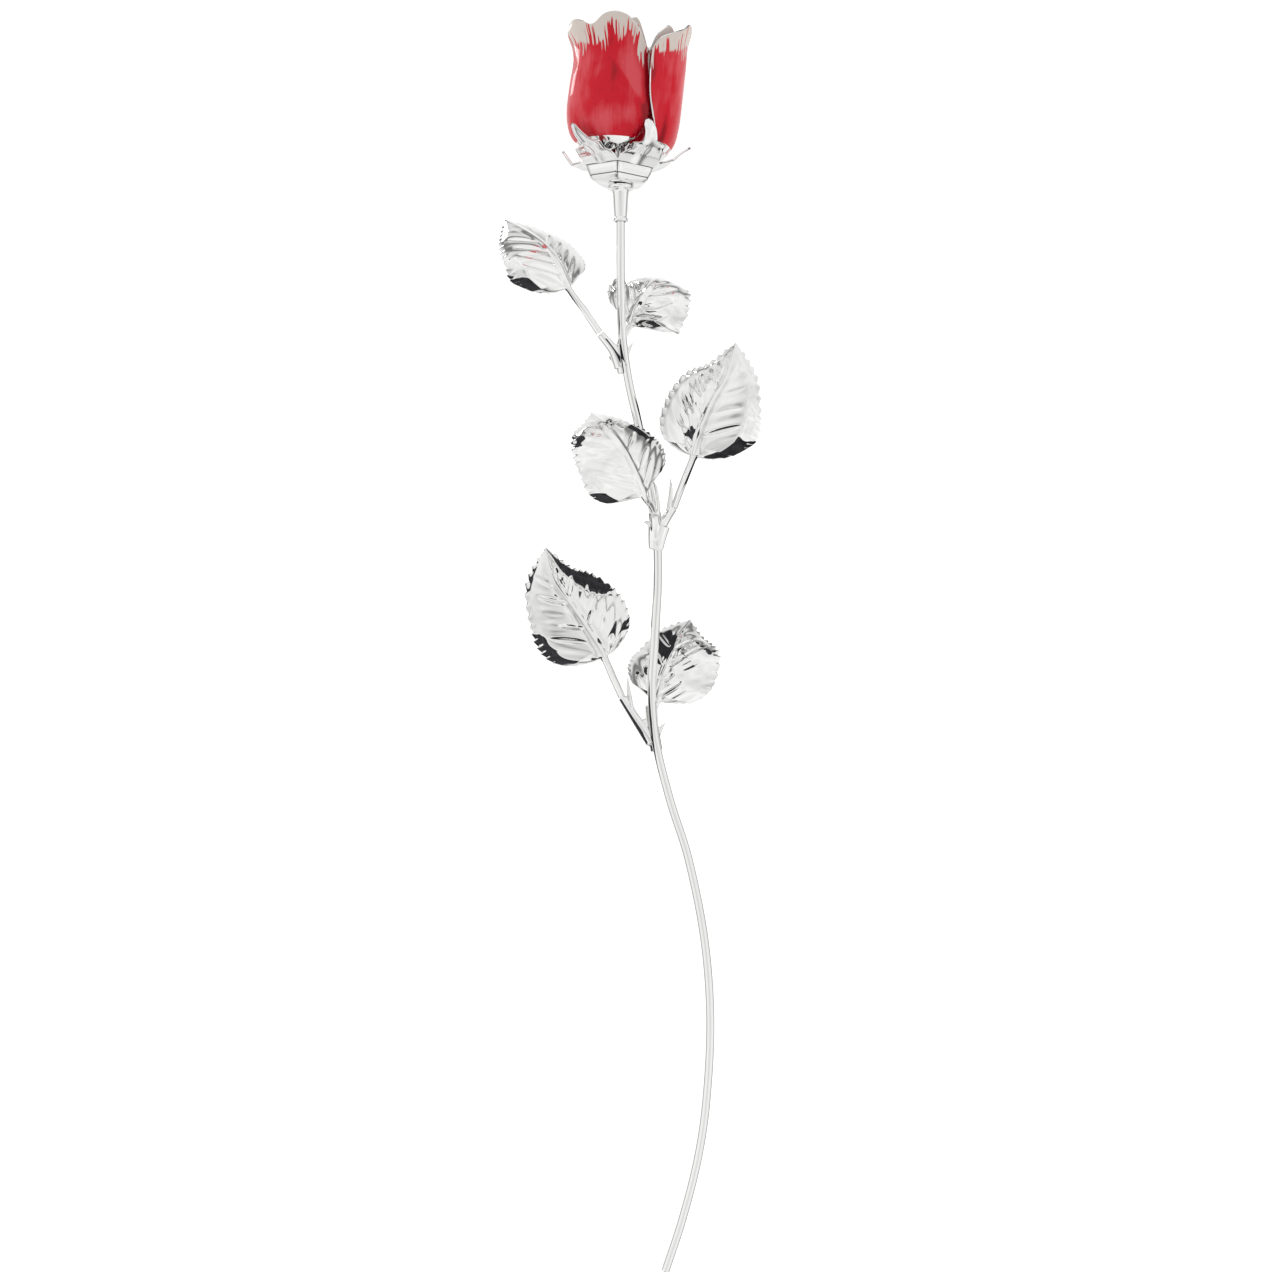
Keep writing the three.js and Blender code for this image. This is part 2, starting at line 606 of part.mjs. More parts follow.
function calyxGeometry() {
  const solids = [cupGeometry(), ...Object.values(SEPALS).map(sepalGeometry)].map(solidOf);
  return geometryOf(solids.reduce((whole, piece) => whole.add(piece)));
}

function collarGeometry(stemCurve, { from, to, aside, arms, bracts }) {
  const away = new THREE.Vector3(...aside);
  const stretch = (start, end, shift) =>
    routeCurve([0, 0.5, 1].map((t) => stemCurve.getPoint(start + (end - start) * t).add(shift).toArray()));
  const branch = (knots, root, tip) =>
    taperedRod(routeCurve(knots), (t) => root + (tip - root) * t, ROD_STEPS, ROD_SIDES);
  const cradle = taperedRod(stretch(from, to, away), () => CRADLE_RADIUS, ROD_STEPS, ROD_SIDES);
  const rods = [
    ...arms.map((knots) => branch(knots, CRADLE_RADIUS, ARM_TIP)),
    ...bracts.map((knots) => branch(knots, BRACT_ROOT, BRACT_TIP)),
  ];
  const stemRoute = stretch(from - ROOM_PAST_END, to + ROOM_PAST_END, new THREE.Vector3());
  const room = bar(stemRoute, STEM_RADIUS + RUNNING_GAP, ROOM_STEPS, ROOM_SIDES);
  const whole = rods.map(solidOf).reduce((sum, piece) => sum.add(piece), solidOf(cradle));
  return geometryOf(whole.subtract(solidOf(room)));
}

const rose = new THREE.Group();
rose.name = "metal_rose";
rose.position.set(-BOX_MIDDLE[0], -BOX_MIDDLE[1], 0);

function add(group, name, geometry, finish) {
  const mesh = new THREE.Mesh(geometry, finishes[finish]());
  mesh.name = name;
  group.add(mesh);
  return mesh;
}

const stemCurve = routeCurve(STEM_ROUTE);
add(rose, "stem", bar(stemCurve, STEM_RADIUS, STEM_STEPS, STEM_SIDES), "silver");

const ferrule = add(rose, "ferrule", turned(FERRULE_PROFILE), "silver");
ferrule.position.set(...FERRULE_FOOT);
ferrule.rotation.x = -radians(HEAD_SINK);

const head = new THREE.Group();
head.position.set(...HEAD_ORIGIN);
head.rotation.set(-radians(HEAD_SINK), 0, -radians(HEAD_LEAN));
rose.add(head);
add(head, "calyx", calyxGeometry(), "silver").rotation.y = radians(CALYX_TURN);
add(head, "receptacle", turned(RECEPTACLE_PROFILE), "silver");
for (const [name, petal] of Object.entries(PETALS)) {
  add(head, "petal_" + name, petalGeometry(petal), "enamel");
}
add(head, "bud_core", coreGeometry(), "enamel");

for (const [name, leaf] of Object.entries(LEAVES)) {
  add(rose, name, leafGeometry(leaf), "silver");
}
for (const [name, collar] of Object.entries(COLLARS)) {
  add(rose, name, collarGeometry(stemCurve, collar), "silver");
}

export default rose;
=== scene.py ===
"""A silver-plated metal rose with enamelled petals, lying on a white table and seen from above.

Lengths in the tables are in millimetres in the rose's own frame: +Y runs from the cut end of the stem to the
bloom, +X to the right of someone who looks down on it, and +Z up from the table.
"""

import math

import bpy
from mathutils import Matrix, Vector


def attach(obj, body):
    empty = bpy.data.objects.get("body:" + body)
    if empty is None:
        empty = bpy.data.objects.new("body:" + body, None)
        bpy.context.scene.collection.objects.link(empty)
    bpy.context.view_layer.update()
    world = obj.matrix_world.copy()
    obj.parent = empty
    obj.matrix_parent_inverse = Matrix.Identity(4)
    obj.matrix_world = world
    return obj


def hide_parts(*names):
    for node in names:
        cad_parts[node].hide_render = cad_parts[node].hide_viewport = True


bl_info = {
    "name": "Metal Rose",
    "version": (1, 0, 0),
    "blender": (4, 5, 0),
    "location": "View3D > Sidebar > Rose",
    "description": "Dresses a packed metal rose with its pressed leaves, enamelled petals and silver plate",
    "category": "Add Mesh",
}

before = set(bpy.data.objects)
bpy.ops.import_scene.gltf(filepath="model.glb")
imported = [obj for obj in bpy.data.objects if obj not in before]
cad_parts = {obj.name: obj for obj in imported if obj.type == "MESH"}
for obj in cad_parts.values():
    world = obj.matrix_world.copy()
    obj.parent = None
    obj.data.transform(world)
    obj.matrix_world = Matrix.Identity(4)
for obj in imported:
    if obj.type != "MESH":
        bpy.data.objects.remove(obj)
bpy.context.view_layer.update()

MM = 0.001

# Middle of the rose's box, in the coordinates of the routes below
BOX_MIDDLE = Vector((1.41, -4.3, 0))

# Degrees between two faces beyond which their edge is sharp
CAST_ANGLE = 50
PRESSED_ANGLE = 60
FOLDED_ANGLE = 55
ROD_ANGLE = 30

# Stem: one round rod in a slow double bend
STEM_RADIUS = 1.55
STEM_ROUTE = [
    (13.7, -224.7, 1.54), (19.7, -206, 3.4), (25.1, -184.3, 5.7), (28.2, -162.6, 8.2), (29.5, -133.9, 11.3),
    (27.4, -105.3, 14), (21.8, -76.9, 16.4), (15.2, -55.7, 18.2), (10.1, -34.6, 19.8), (8.8, -17, 21),
    (9.8, 1.2, 22.1), (10.9, 21.5, 23.1), (10.4, 38.9, 23.9), (8.1, 56.4, 24.6), (4.5, 73.8, 25.2),
    (0.6, 91.2, 25.6), (-1.5, 106.9, 25.8), (-2, 122.6, 25.8), (-2.1, 136.6, 25.75), (-2.1, 148, 25.2),
    (-2.1, 154.2, 24.65),
]
RUNNING_GAP = 0.3

# Head: its origin is the middle of the calyx floor, and its axis leans right and sinks to the tip
HEAD_ORIGIN = (-2.6, 159.36, 24.2)
HEAD_LEAN = 3.6
HEAD_SINK = 5.1
FERRULE_FOOT = (-2.1, 146.4, 25.35)

# Turned pieces, as radius, height and how far the corner is rounded
FERRULE_BORE = STEM_RADIUS + RUNNING_GAP
FERRULE_PROFILE = [
    (FERRULE_BORE, 0, 0), (2.6, 0, 0.2), (2.75, 0.5, 0.2), (2.6, 1.1, 0.15), (2.35, 1.5, 0.15),
    (2.9, 10.2, 0.4), (3.3, 11, 0.3), (4.6, 11.5, 0.25), (4.9, 12.1, 0.25), (4.6, 12.7, 0.1),
    (FERRULE_BORE, 12.7, 0),
]
RECEPTACLE_PROFILE = [
    (0, -3.2, 0), (1.1, -3.2, 0.1), (1.1, 1, 0.1), (5.2, 1, 0.3), (5.7, 2.4, 0.6), (5.3, 4.8, 0.8),
    (3.4, 6.6, 0.8), (0, 7.2, 0),
]

# Calyx: a five-armed blank folded up into a pentagonal cup, with a toothed sepal on each side
SHEET = 0.7
SIDES = 5
CALYX_TURN = -4
CUP_ROWS = [
    # corner radius, height, share of the pentagon in the outline
    (2, 0, 0), (4.6, 0, 0), (9.6, 0.6, 0.8), (11, 1.6, 1), (12.2, 4, 1), (13.1, 6.4, 1),
]
SCORE_LINES = (2.2, 5.7)
SCORE_HALF_WIDTH = 0.32
SCORE_DEPTH = 0.22
# How much of its radius the cup loses where its corners are pressed round, and how far from a corner, in
# radians: a wide easing and a tight one that counts twice
CORNER_LOSS = 0.018
CORNER_WIDE = 0.09
CORNER_TIGHT = 0.028
# Painted dark reflection lines on the calyx: half the width of each line, in millimetres beside a scored line
# and in degrees beside a corner of the cup, and the shares of a sepal over which the line along its cut edge
# grows
PAINTED_DARK_HALF_WIDTH = 0.2
PAINTED_DARK_HALF_TURN = 1.1
PAINTED_DARK_GROWS = (0.1, 0.25)
# Raised bead along the margin of a sepal's finger, its half-width as a share of the sepal's, and the low rib
# in its middle
BEAD_HEIGHT = 0.22
BEAD_HALF_WIDTH = 0.16
BEAD_GROWS = (0.25, 0.45)
RIB_HEIGHT = 0.3
RIB_HALF_WIDTH = 1.6
CALYX_RIM = 0.12
SEPAL_OUTLINE = [
    # share of the length from the cup, half-width on the notched side and on the broad side
    (0, 7.2, 7.2), (0.12, 7.4, 7.8), (0.22, 6.2, 8), (0.3, 4.8, 7.6), (0.38, 5.2, 7), (0.44, 5.6, 6.4),
    (0.49, 2.9, 6.6), (0.54, 2.6, 2.8), (0.66, 2.2, 2.3), (0.8, 1.9, 1.9), (0.92, 1.5, 1.5), (1, 0.6, 0.6),
]
SEPALS = {
    # the side that is broad, and knots of azimuth from the upper side, radius and height
    "front_left": (-1, [
        (-36, 10.2, 5.8), (-36, 13.4, 8.4), (-38, 18, 11), (-44, 20.6, 14.2), (-49, 21.6, 17.4)]),
    "front_right": (1, [
        (36, 10.2, 5.8), (36, 13.4, 8.6), (36, 18.2, 12), (33, 20.6, 15.6), (27, 21.6, 19)]),
    "side_left": (-1, [
        (-108, 10.2, 5.8), (-108, 13.6, 7), (-107, 17.4, 7.2), (-104, 19.6, 9.6), (-102, 21.4, 12.2)]),
    "side_right": (1, [
        (108, 10.2, 5.8), (109, 13.8, 8.2), (110, 18, 10.4), (111, 21.2, 13.6), (112, 25, 16.8)]),
    "back": (1, [
        (180, 10.2, 5.8), (180, 13.4, 8.4), (179, 17.8, 11.6), (177, 19.8, 15), (176, 20.2, 18)]),
}

# Petals: azimuth of the middle and half the span in degrees, how far each side edge stands off the profile,
# share of the span at each level, radius of the profile at each height, and height of the crest across.
# The spots of painted sheen make the enamel rosy, and those of painted shade, whose amount is below 0,
# make it deep red; each is given as azimuth, height, half the width, half the height and amount.
PETAL_SHEET = 0.8
CLAW_HEIGHT = 3
OUTER_SPREAD = [
    (0, 0.2), (0.165, 0.24), (0.2, 0.55), (0.24, 0.72), (0.28, 0.87), (0.36, 0.95), (0.47, 1), (1, 1),
]
INNER_SPREAD = [(0, 0.32), (0.12, 0.36), (0.2, 0.6), (0.32, 0.9), (0.47, 1), (1, 1)]
INNER_PROFILE = [
    (3, 6.5), (6, 7.2), (9, 8.8), (12, 10.8), (16, 13), (22, 15), (30, 16.2), (42, 16.6), (56, 17.4),
]
PETALS = {
    "outer_left": {
        "centre": -35, "half_span": 63, "tuck": (0, -1), "spread": OUTER_SPREAD,
        "sheen_shade_spots": [(-52, 34, 8, 20, 0.8), (-6, 37, 5, 11, -0.1), (26, 31, 3.6, 15, -1.6),
                  (-14, 19.5, 9, 5.5, 0.6), (5, 21, 4, 4.5, 0.4), (22, 15, 5, 3, -0.8)],
        "profile": [(3, 7), (6.5, 9), (9.5, 12), (12, 14.6), (15, 17.2), (19, 19.2), (25, 20.1), (34, 19.6),
                    (43, 18.8), (48, 19.6), (52, 21.6), (56, 22)],
        "crest": [(-1, 45), (-0.82, 50), (-0.62, 53.6), (-0.42, 54.8), (-0.2, 53.4), (0, 51.6), (0.18, 54.6),
                  (0.35, 55.5), (0.53, 54.4), (0.65, 52), (0.75, 49.4), (0.9, 45), (1, 41.5)],
    },
    "outer_right": {
        "centre": 88, "half_span": 62, "tuck": (0.5, 0),
        "sheen_shade_spots": [(72, 33, 12, 20, 0.35), (50, 18, 4, 9, -0.5)],
        "spread": [(0, 0.2), (0.14, 0.3), (0.2, 0.58), (0.24, 0.68), (0.31, 0.78), (0.41, 0.87), (0.6, 0.98),
                   (0.8, 1.02), (1, 1.02)],
        "profile": [(3, 7), (6.5, 9.4), (9, 12.6), (11, 15.2), (15.7, 18.2), (21, 19.4), (27, 20), (42, 20.8),
                    (50, 21), (57, 22)],
        "crest": [(-1, 44), (-0.87, 48.3), (-0.55, 52.2), (-0.34, 54.7), (-0.2, 57), (0, 55.6), (0.3, 53.4),
                  (0.65, 54), (1, 47)],
    },
    "outer_back": {
        "centre": 205, "half_span": 53, "tuck": (0, 0), "spread": OUTER_SPREAD,
        "sheen_shade_spots": [(200, 32, 10, 16, 0.5)],
        "profile": [(3, 7), (6.5, 9), (9.5, 11.6), (12, 14), (16, 17), (22, 18.9), (29, 19.8), (44, 19.3),
                    (58, 19.7)],
        "crest": [(-1, 48), (-0.6, 54), (-0.2, 53), (0.2, 56), (0.6, 54), (1, 47)],
    },
    "inner_front": {
        "centre": 27, "half_span": 55, "tuck": (0, 0), "spread": INNER_SPREAD, "sheen_shade_spots": [],
        "profile": INNER_PROFILE,
        "crest": [(-1, 46), (-0.64, 52), (-0.36, 55), (-0.26, 54), (-0.14, 49.6), (0, 44.6), (0.16, 50),
                  (0.33, 53), (0.53, 55), (0.78, 53), (1, 46)],
    },
    "inner_right": {
        "centre": 148, "half_span": 55, "tuck": (0, 0), "spread": INNER_SPREAD, "sheen_shade_spots": [],
        "profile": INNER_PROFILE,
        "crest": [(-1, 44), (-0.4, 52), (0.1, 54), (0.5, 52), (1, 43)],
    },
    "inner_left": {
        "centre": 267, "half_span": 55, "tuck": (0, 0), "spread": INNER_SPREAD, "sheen_shade_spots": [],
        "profile": INNER_PROFILE,
        "crest": [(-1, 43), (-0.4, 51), (0.1, 53), (0.5, 52), (1, 44)],
    },
}

# The enamel ends above the claws, the relief grows over a span of heights, and an outer petal's lip flares
ENAMEL_FOOT = 13.6
BARE_ROWS = 16
FULL_CREST = 54
PEARL_NARROWS = 0.4
RELIEF_GROWS = (6, 14)
LIP_HEIGHT = 4.5
LIP_FLARE = 0.18
RIM_PROUD = 0.35
PETAL_RADIUS = 20
# Slow waves across the petals, as share, waves in a turn and degrees of phase for each millimetre of height
PETAL_WAVES = [(0.6, 7, 9), (0.4, 13, -5)]
# Edge of a spot of painted sheen or shade, from where it ends to where it is full, as shares of its
# half-width
SHEEN_SHADE_EDGE = (1.25, 0.1)
# Slanting crease of the front petal, by azimuth and height. Its press grows off the line, fades further off,
# and also fades at both ends, each over a span in millimetres.
CREASE = ((-14.5, 39.5), (20.5, 24))
CREASE_GROWS = (-0.2, 1)
CREASE_FADES = (15, 3)
CREASE_START = (-5, 4)
CREASE_END = (4, -2)
# Painted sheen on the pressed side of the front petal's crease, as a share of its press
CREASE_SHEEN = 0.8
# One degree of azimuth on the outside of the bloom
MM_PER_DEGREE = 0.343

# Bud core: one petal rolled up in the middle of the bloom
CORE_TURNS = 1.6
CORE_OUTER = 10.5
CORE_INNER = 3.4
CORE_SCALE = [(7.6, 0.34), (14, 0.55), (24, 0.86), (36, 1), (50, 0.84)]
CORE_RIM_WAVE = 3
CORE_RIM_TURNS = 9
CORE_BARE_ROWS = 8

# Leaves: greatest half-width, and knots of x, y, z and roll in degrees (right side down) from root to tip
LEAF_TEETH = 20
TEETH_FROM = 0.03
TEETH_TO = 0.95
TEETH_GROW = 0.02
TEETH_FADE = 0.03
TOOTH_PEAK = 0.62
TOOTH_OUT = 0.8
TOOTH_FORWARD = 0.7
TOOTHED_MARGIN = 0.88
LEAF_RIM = 0.1
STALK_HALF_WIDTH = 1.7
STALK_KNOTS = 2
STALK_BEND = 1.25
BLADE_BEND = 0.5
BEND_CHANGE = 0.08
ROLL_SPAN = 0.1
BLADE_OUTLINE = [
    (0, 0.11), (0.015, 0.34), (0.05, 0.56), (0.12, 0.79), (0.21, 0.94), (0.33, 1), (0.48, 0.97), (0.6, 0.87),
    (0.72, 0.67), (0.82, 0.44), (0.9, 0.24), (0.96, 0.1), (1, 0.02),
]
VEIN_PITCH = 5.7
VEIN_FIRST = 4.7
VEIN_SLANT = 0.85
VEINS_FROM = 0.06
VEINS_TO = 0.92
VEINS_FADE = 0.12
SWELL_ACROSS = 1.05
GROOVE_OFF = 1.9
GROOVE_HALF_WIDTH = 0.7
GROOVE_DEPTH = 0.12
MIDRIB_HALF_WIDTH = 1.25
MIDRIB_NARROWS = 0.7
MIDRIB_SINKS = 0.7
DIMPLE_HALF_WIDTH = 1.55
DIMPLE_ROUNDING = 0.15
LEAVES = {
    "leaf_c_left": (17.8, [
        (-1.9, -19.2, 16.6, 0), (-4.8, -13, 14, 0), (-8, -5.4, 11.7, 8), (-13.2, 3.3, 11.15, 13),
        (-18.8, 11.8, 10.95, 16), (-25.7, 21.8, 10.15, 15), (-28.9, 33, 8.1, 10)]),
    "leaf_c_right": (18.8, [
        (8.7, -26.8, 16.4, 0), (9.3, -23.8, 16.2, -12), (10.2, -21, 16.4, -24), (12.2, -12.6, 17.7, -33),
        (15.4, -4.6, 15.8, -35), (18.6, 2.6, 10.6, -33), (22.4, 7.6, 4.4, -30)]),
    "leaf_b_left": (18.5, [
        (9.55, 44.3, 29.2, 0), (8.5, 47.3, 33.6, 12), (6.4, 50.4, 38, 22), (2.8, 58.8, 42, 33),
        (-1.9, 67.6, 42, 35), (-8.2, 75.8, 36, 34), (-12.4, 80, 22, 26)]),
    "leaf_b_right": (18.7, [
        (16.6, 47.1, 20.9, 0), (19.9, 56.3, 16.7, -6), (23.4, 65.6, 13.9, -14), (26.3, 75.6, 13.2, -20),
        (30.4, 84.9, 12.8, -20), (35.7, 94.6, 12, -20), (38.7, 105.6, 9.8, -14)]),
    "leaf_a_left": (18, [
        (-9.4, 107.5, 27, 0), (-14.2, 115, 28.8, 16), (-19.8, 123.2, 29.6, 36), (-23.4, 131.2, 30, 46),
        (-28.2, 137.8, 28, 50), (-35.4, 143.8, 22, 50), (-42.8, 148.8, 13, 46)]),
    "leaf_a_right": (18.8, [
        (-2.68, 103.3, 21.6, 0), (-1, 107.5, 20.6, -12), (1, 111.2, 20.2, -26), (2.9, 116.6, 23, -36),
        (6.4, 122, 24.6, -39), (10.5, 127, 20.5, -40), (13.2, 129, 6, -40)]),
}

# Margins: each leaf's left and right margin rolls down from a share of the half-width, by a slope that
# changes along the leaf
MARGINS = {
    "leaf_c_left": (
        (0.79, [(0, 0.9), (0.05, 1.1), (0.14, 0.8), (0.42, 0.6), (0.5, 0.1), (0.72, 0), (0.82, 0.5),
                (1, 0.5)]),
        (0.4, [(0, -0.1), (0.45, -0.1), (0.58, 0.2), (0.85, 0.2), (1, 0)])),
    "leaf_c_right": (
        (0.8, [(0, 0.1), (1, 0.1)]),
        (0.8, [(0, -0.2), (0.1, -0.3), (0.2, -0.1), (0.3, 0.1), (1, 0.1)])),
    "leaf_b_left": ((0.76, [(0, 0.2), (0.3, 0.3), (0.4, 0), (1, 0)]),
                    (0.75, [(0, 0), (0.45, 0), (0.55, 0.2), (1, 0.2)])),
    "leaf_b_right": (
        (0.8, [(0, 0.1), (1, 0.1)]),
        (0.7, [(0, 0.4), (0.05, 0.8), (0.14, 0.7), (0.58, 0.6), (0.68, 0.1), (0.8, 0.1), (0.88, 0.4),
               (1, 0.4)])),
    "leaf_a_left": (
        (0.76, [(0, 0.3), (0.08, 0.9), (0.35, 1), (0.45, 0.6), (0.6, 0.2), (1, 0.1)]),
        (0.8, [(0, 0), (1, 0)])),
    "leaf_a_right": ((0.8, [(0, 0), (1, 0)]), (0.72, [(0, 0), (0.1, 0.2), (0.5, 0.2), (1, 0)])),
}

# Dimples: long lens-shaped hollows between the veins of each leaf, on its left and its right side, as the
# place where each one's line meets the midrib, its inner and outer end off the midrib, and its depth over the
# usual one
DIMPLES = {
    "leaf_c_left": (
        [(6, 2.2, 13.4, 1.3), (12.9, 0.9, 8, 1.25), (18.6, 4, 10, 0.3), (24.3, 1, 8.4, 1.1),
         (31, 1.2, 6.4, 0.6)],
        [(13, 0.9, 5.6, 1.2), (26, 1, 7, 0.8)]),
    "leaf_c_right": (
        [(5, 2, 7, 0.7), (12, 2, 9, 0.9), (20, 1.6, 9, 1.2)],
        [(2.4, 0.6, 8.4, 1.1), (7.4, 0.6, 4.6, 1.2), (8, 5, 13, 0.35), (13.3, 0.7, 5.4, 1.2),
         (13.8, 5, 12, 0.35), (20, 1, 6, 0.6)]),
    "leaf_b_left": (
        [(4.6, 0.9, 14, 0.9), (10.8, 1, 5.6, 0.45), (17, 3, 9, 0.25)],
        [(3.4, 1.2, 10, 1.1), (8.6, 1.2, 11, 0.9), (19.6, 1.6, 9, 1.1)]),
    "leaf_b_right": (
        [(1.6, 1.6, 4.6, 0.7), (13.2, 1.4, 6.2, 1.1), (19.6, 4.6, 8, 0.5), (25.4, 0.8, 3.4, 0.8)],
        [(6.2, 1.8, 13.8, 1.1), (15.6, 2, 10.6, 0.4), (24, 2, 8, 0.25)]),
    "leaf_a_left": (
        [(4.6, 1.4, 14, 1.2), (10, 1.4, 12.6, 0.9), (16, 1.4, 11, 0.9), (22, 1.4, 9, 0.8)],
        [(3, 1.4, 11, 1.2), (8.6, 1.4, 10, 1.2), (14.4, 1.4, 9, 1.1), (20, 1.4, 8, 1)]),
    "leaf_a_right": (
        [(3, 1.6, 9, 1.1), (9, 1.6, 9, 1.1), (15, 1.6, 8, 1)],
        [(3.8, 1.2, 13.6, 1.2), (9.4, 1.4, 12, 1), (16, 1.6, 10, 0.7), (22, 1.6, 8, 0.6)]),
}

# Collars: cast cradles beside the stem, each with two arms that carry the leaf stalks, thorn-like bracts, and
# a flat web in the fork with its two half-widths. The first two numbers are shares of the stem's route, and
# the third entry is the cradle's way off it.
CRADLE_RADIUS = 2.2
ARM_TIP = 1.5
WEB_FLATNESS = 0.55
BRACT_ROOT = 1.2
BRACT_TIP = 0.25
# A rod's end is rounded over a share of this length, down to the same share of its radius
ROD_BLUNT = 0.35
BRACT_BLUNT = 0.1
BLUNT_SHARE = 0.6
FILLET_VOXEL = 0.2
FILLET_PASSES = 8
ROOM_PAST_END = 0.03
COLLARS = {
    "collar_c": (0.39, 0.435, (-0.4, 0, -1.5), [
        [(8.8, -35.6, 18.8), (4, -28.4, 18.4), (-1.7, -19.6, 16.8)],
        [(9.2, -35, 18.2), (8.8, -31, 17.4), (8.65, -27.15, 16.55)]], [
        [(10, -35, 18.4), (12, -30.6, 18.6), (13.6, -28.6, 18.8)],
        [(1.6, -24, 18), (0.6, -17, 18), (0.3, -12.6, 18.4)]],
        [((9.4, -36, 18.4), (7.4, -32.5, 18.1), (4.6, -28, 17.8), 2.3, 2.3)]),
    "collar_b": (0.583, 0.618, (0, 0, 1.4), [
        [(10.2, 36, 25.6), (10.1, 40, 26.7), (9.65, 43.9, 28.7)],
        [(10.2, 36, 25.4), (13, 41.6, 24.4), (16.3, 46.6, 21.3)]], [
        [(10, 38, 26), (7.6, 41.2, 26.4), (5.9, 41.6, 26.6)],
        [(10.6, 41, 25.6), (10.8, 49, 27), (10.1, 55, 27.6)],
        [(14.6, 44, 22.8), (15.4, 52, 22.4), (15.3, 57, 22.4)]],
        [((10.2, 32, 25.4), (10.7, 36.5, 25.9), (11.4, 40.5, 26), 2.6, 3.9)]),
    "collar_a": (0.757, 0.79, (-1.3, 0, -0.9), [
        [(-2.2, 95.5, 24.8), (-4.6, 101.5, 25.6), (-9.15, 107.2, 26.85)],
        [(-2, 96, 24.2), (-2.8, 99.6, 22.8), (-2.7, 102.95, 21.7)]], [
        [(-1.2, 98, 24), (0.8, 102, 23.6), (2.2, 104.4, 23.6)]],
        [((-2.4, 95.5, 24.2), (-3.2, 98, 24.2), (-4.2, 100.5, 24.4), 1.6, 2.6)]),
}

# Camera: straight down on the rose, as an 85 mm lens sees it
CAMERA_PLACE = (3.24, 4.8, 1080)
CAMERA_LENS = 85
CAMERA_SENSOR = 36

# Light tent: linear grey of its cloth by the upward part of the direction, with the camera's spot on top
TENT_GREYS = [
    (-1, 0.92), (-0.8, 0.88), (-0.5, 0.72), (-0.36, 0.2), (-0.26, 0.24), (-0.1, 0.72), (0.1, 0.88),
    (0.35, 0.94), (0.7, 0.94), (0.85, 0.86), (0.94, 0.8), (0.99, 0.7), (0.9972, 0.46), (1, 0.4),
]
# Black flags that give the silver its darks: the place on the rose that each one stands before, how far off,
# and the azimuths from +X and the elevations that it fills there, in degrees
FLAGS = {
    "flag_c_left_low": ((-24, 2, 11), 62, (-150, -76), (-12, 50)),
    "flag_c_left_high": ((-16, 23, 4), 27, (36, 96), (-25, 24)),
    "flag_c_left_tip": ((-32, 30, 9), 30, (150, 215), (-20, 40)),
    "flag_c_right": ((13.5, 0, 15), 17, (100, 160), (-42, 14)),
    "flag_b_left_low": ((-7, 49, 43), 14, (-125, -45), (-40, 32)),
    "flag_b_left_high": ((5, 72, 34), 16, (22, 84), (-50, -18)),
    "flag_b_right": ((34, 69, 14), 18, (-112, -8), (-22, 52)),
    "flag_a_left": ((-31, 124, 36), 20, (-168, -76), (-14, 58)),
    "flag_a_right": ((8, 109.5, 24), 17, (-165, -121), (-34, 22)),
}
# A white card low on the left of the bloom, placed in the same way
CARD = ((-18, 197, 28), 100, (150, 161), (-54, -38))
CARD_GLOW = 12
CARD_DIMMEST = 0.6


class RoseSizes(bpy.types.PropertyGroup):
    """Sizes of the relief and the finish that a user may change"""

    vein_depth: bpy.props.FloatProperty(
        name="Dimple depth", description="How deep the long dimples between the leaf veins are pressed",
        default=0.85 * MM, min=0, max=2 * MM, subtype="DISTANCE", unit="LENGTH", precision=5)
    vein_swell: bpy.props.FloatProperty(
        name="Vein swell", description="How far the leaf swells between one dimple and the next",
        default=0.09 * MM, min=0, max=2 * MM, subtype="DISTANCE", unit="LENGTH", precision=5)
    midrib_height: bpy.props.FloatProperty(
        name="Midrib height", description="How far the midrib stands over the leaf",
        default=0.45 * MM, min=0, max=2 * MM, subtype="DISTANCE", unit="LENGTH", precision=5)
    petal_wave: bpy.props.FloatProperty(
        name="Petal wave", description="Height of the slow waves pressed into the petals",
        default=0.1 * MM, min=0, max=1 * MM, subtype="DISTANCE", unit="LENGTH", precision=5)
    crease_depth: bpy.props.FloatProperty(
        name="Crease depth", description="How far the front petal is pressed in beside its slanting crease",
        default=0.3 * MM, min=0, max=2 * MM, subtype="DISTANCE", unit="LENGTH", precision=5)
    pearl_reach: bpy.props.FloatProperty(
        name="Pearl reach", description="How far the pearl white runs down from a petal's crest",
        default=7.4 * MM, min=0, max=30 * MM, subtype="DISTANCE", unit="LENGTH", precision=4)
    table_size: bpy.props.FloatProperty(
        name="Table size", description="Length of each side of the white table",
        default=30, min=1, subtype="DISTANCE", unit="LENGTH")


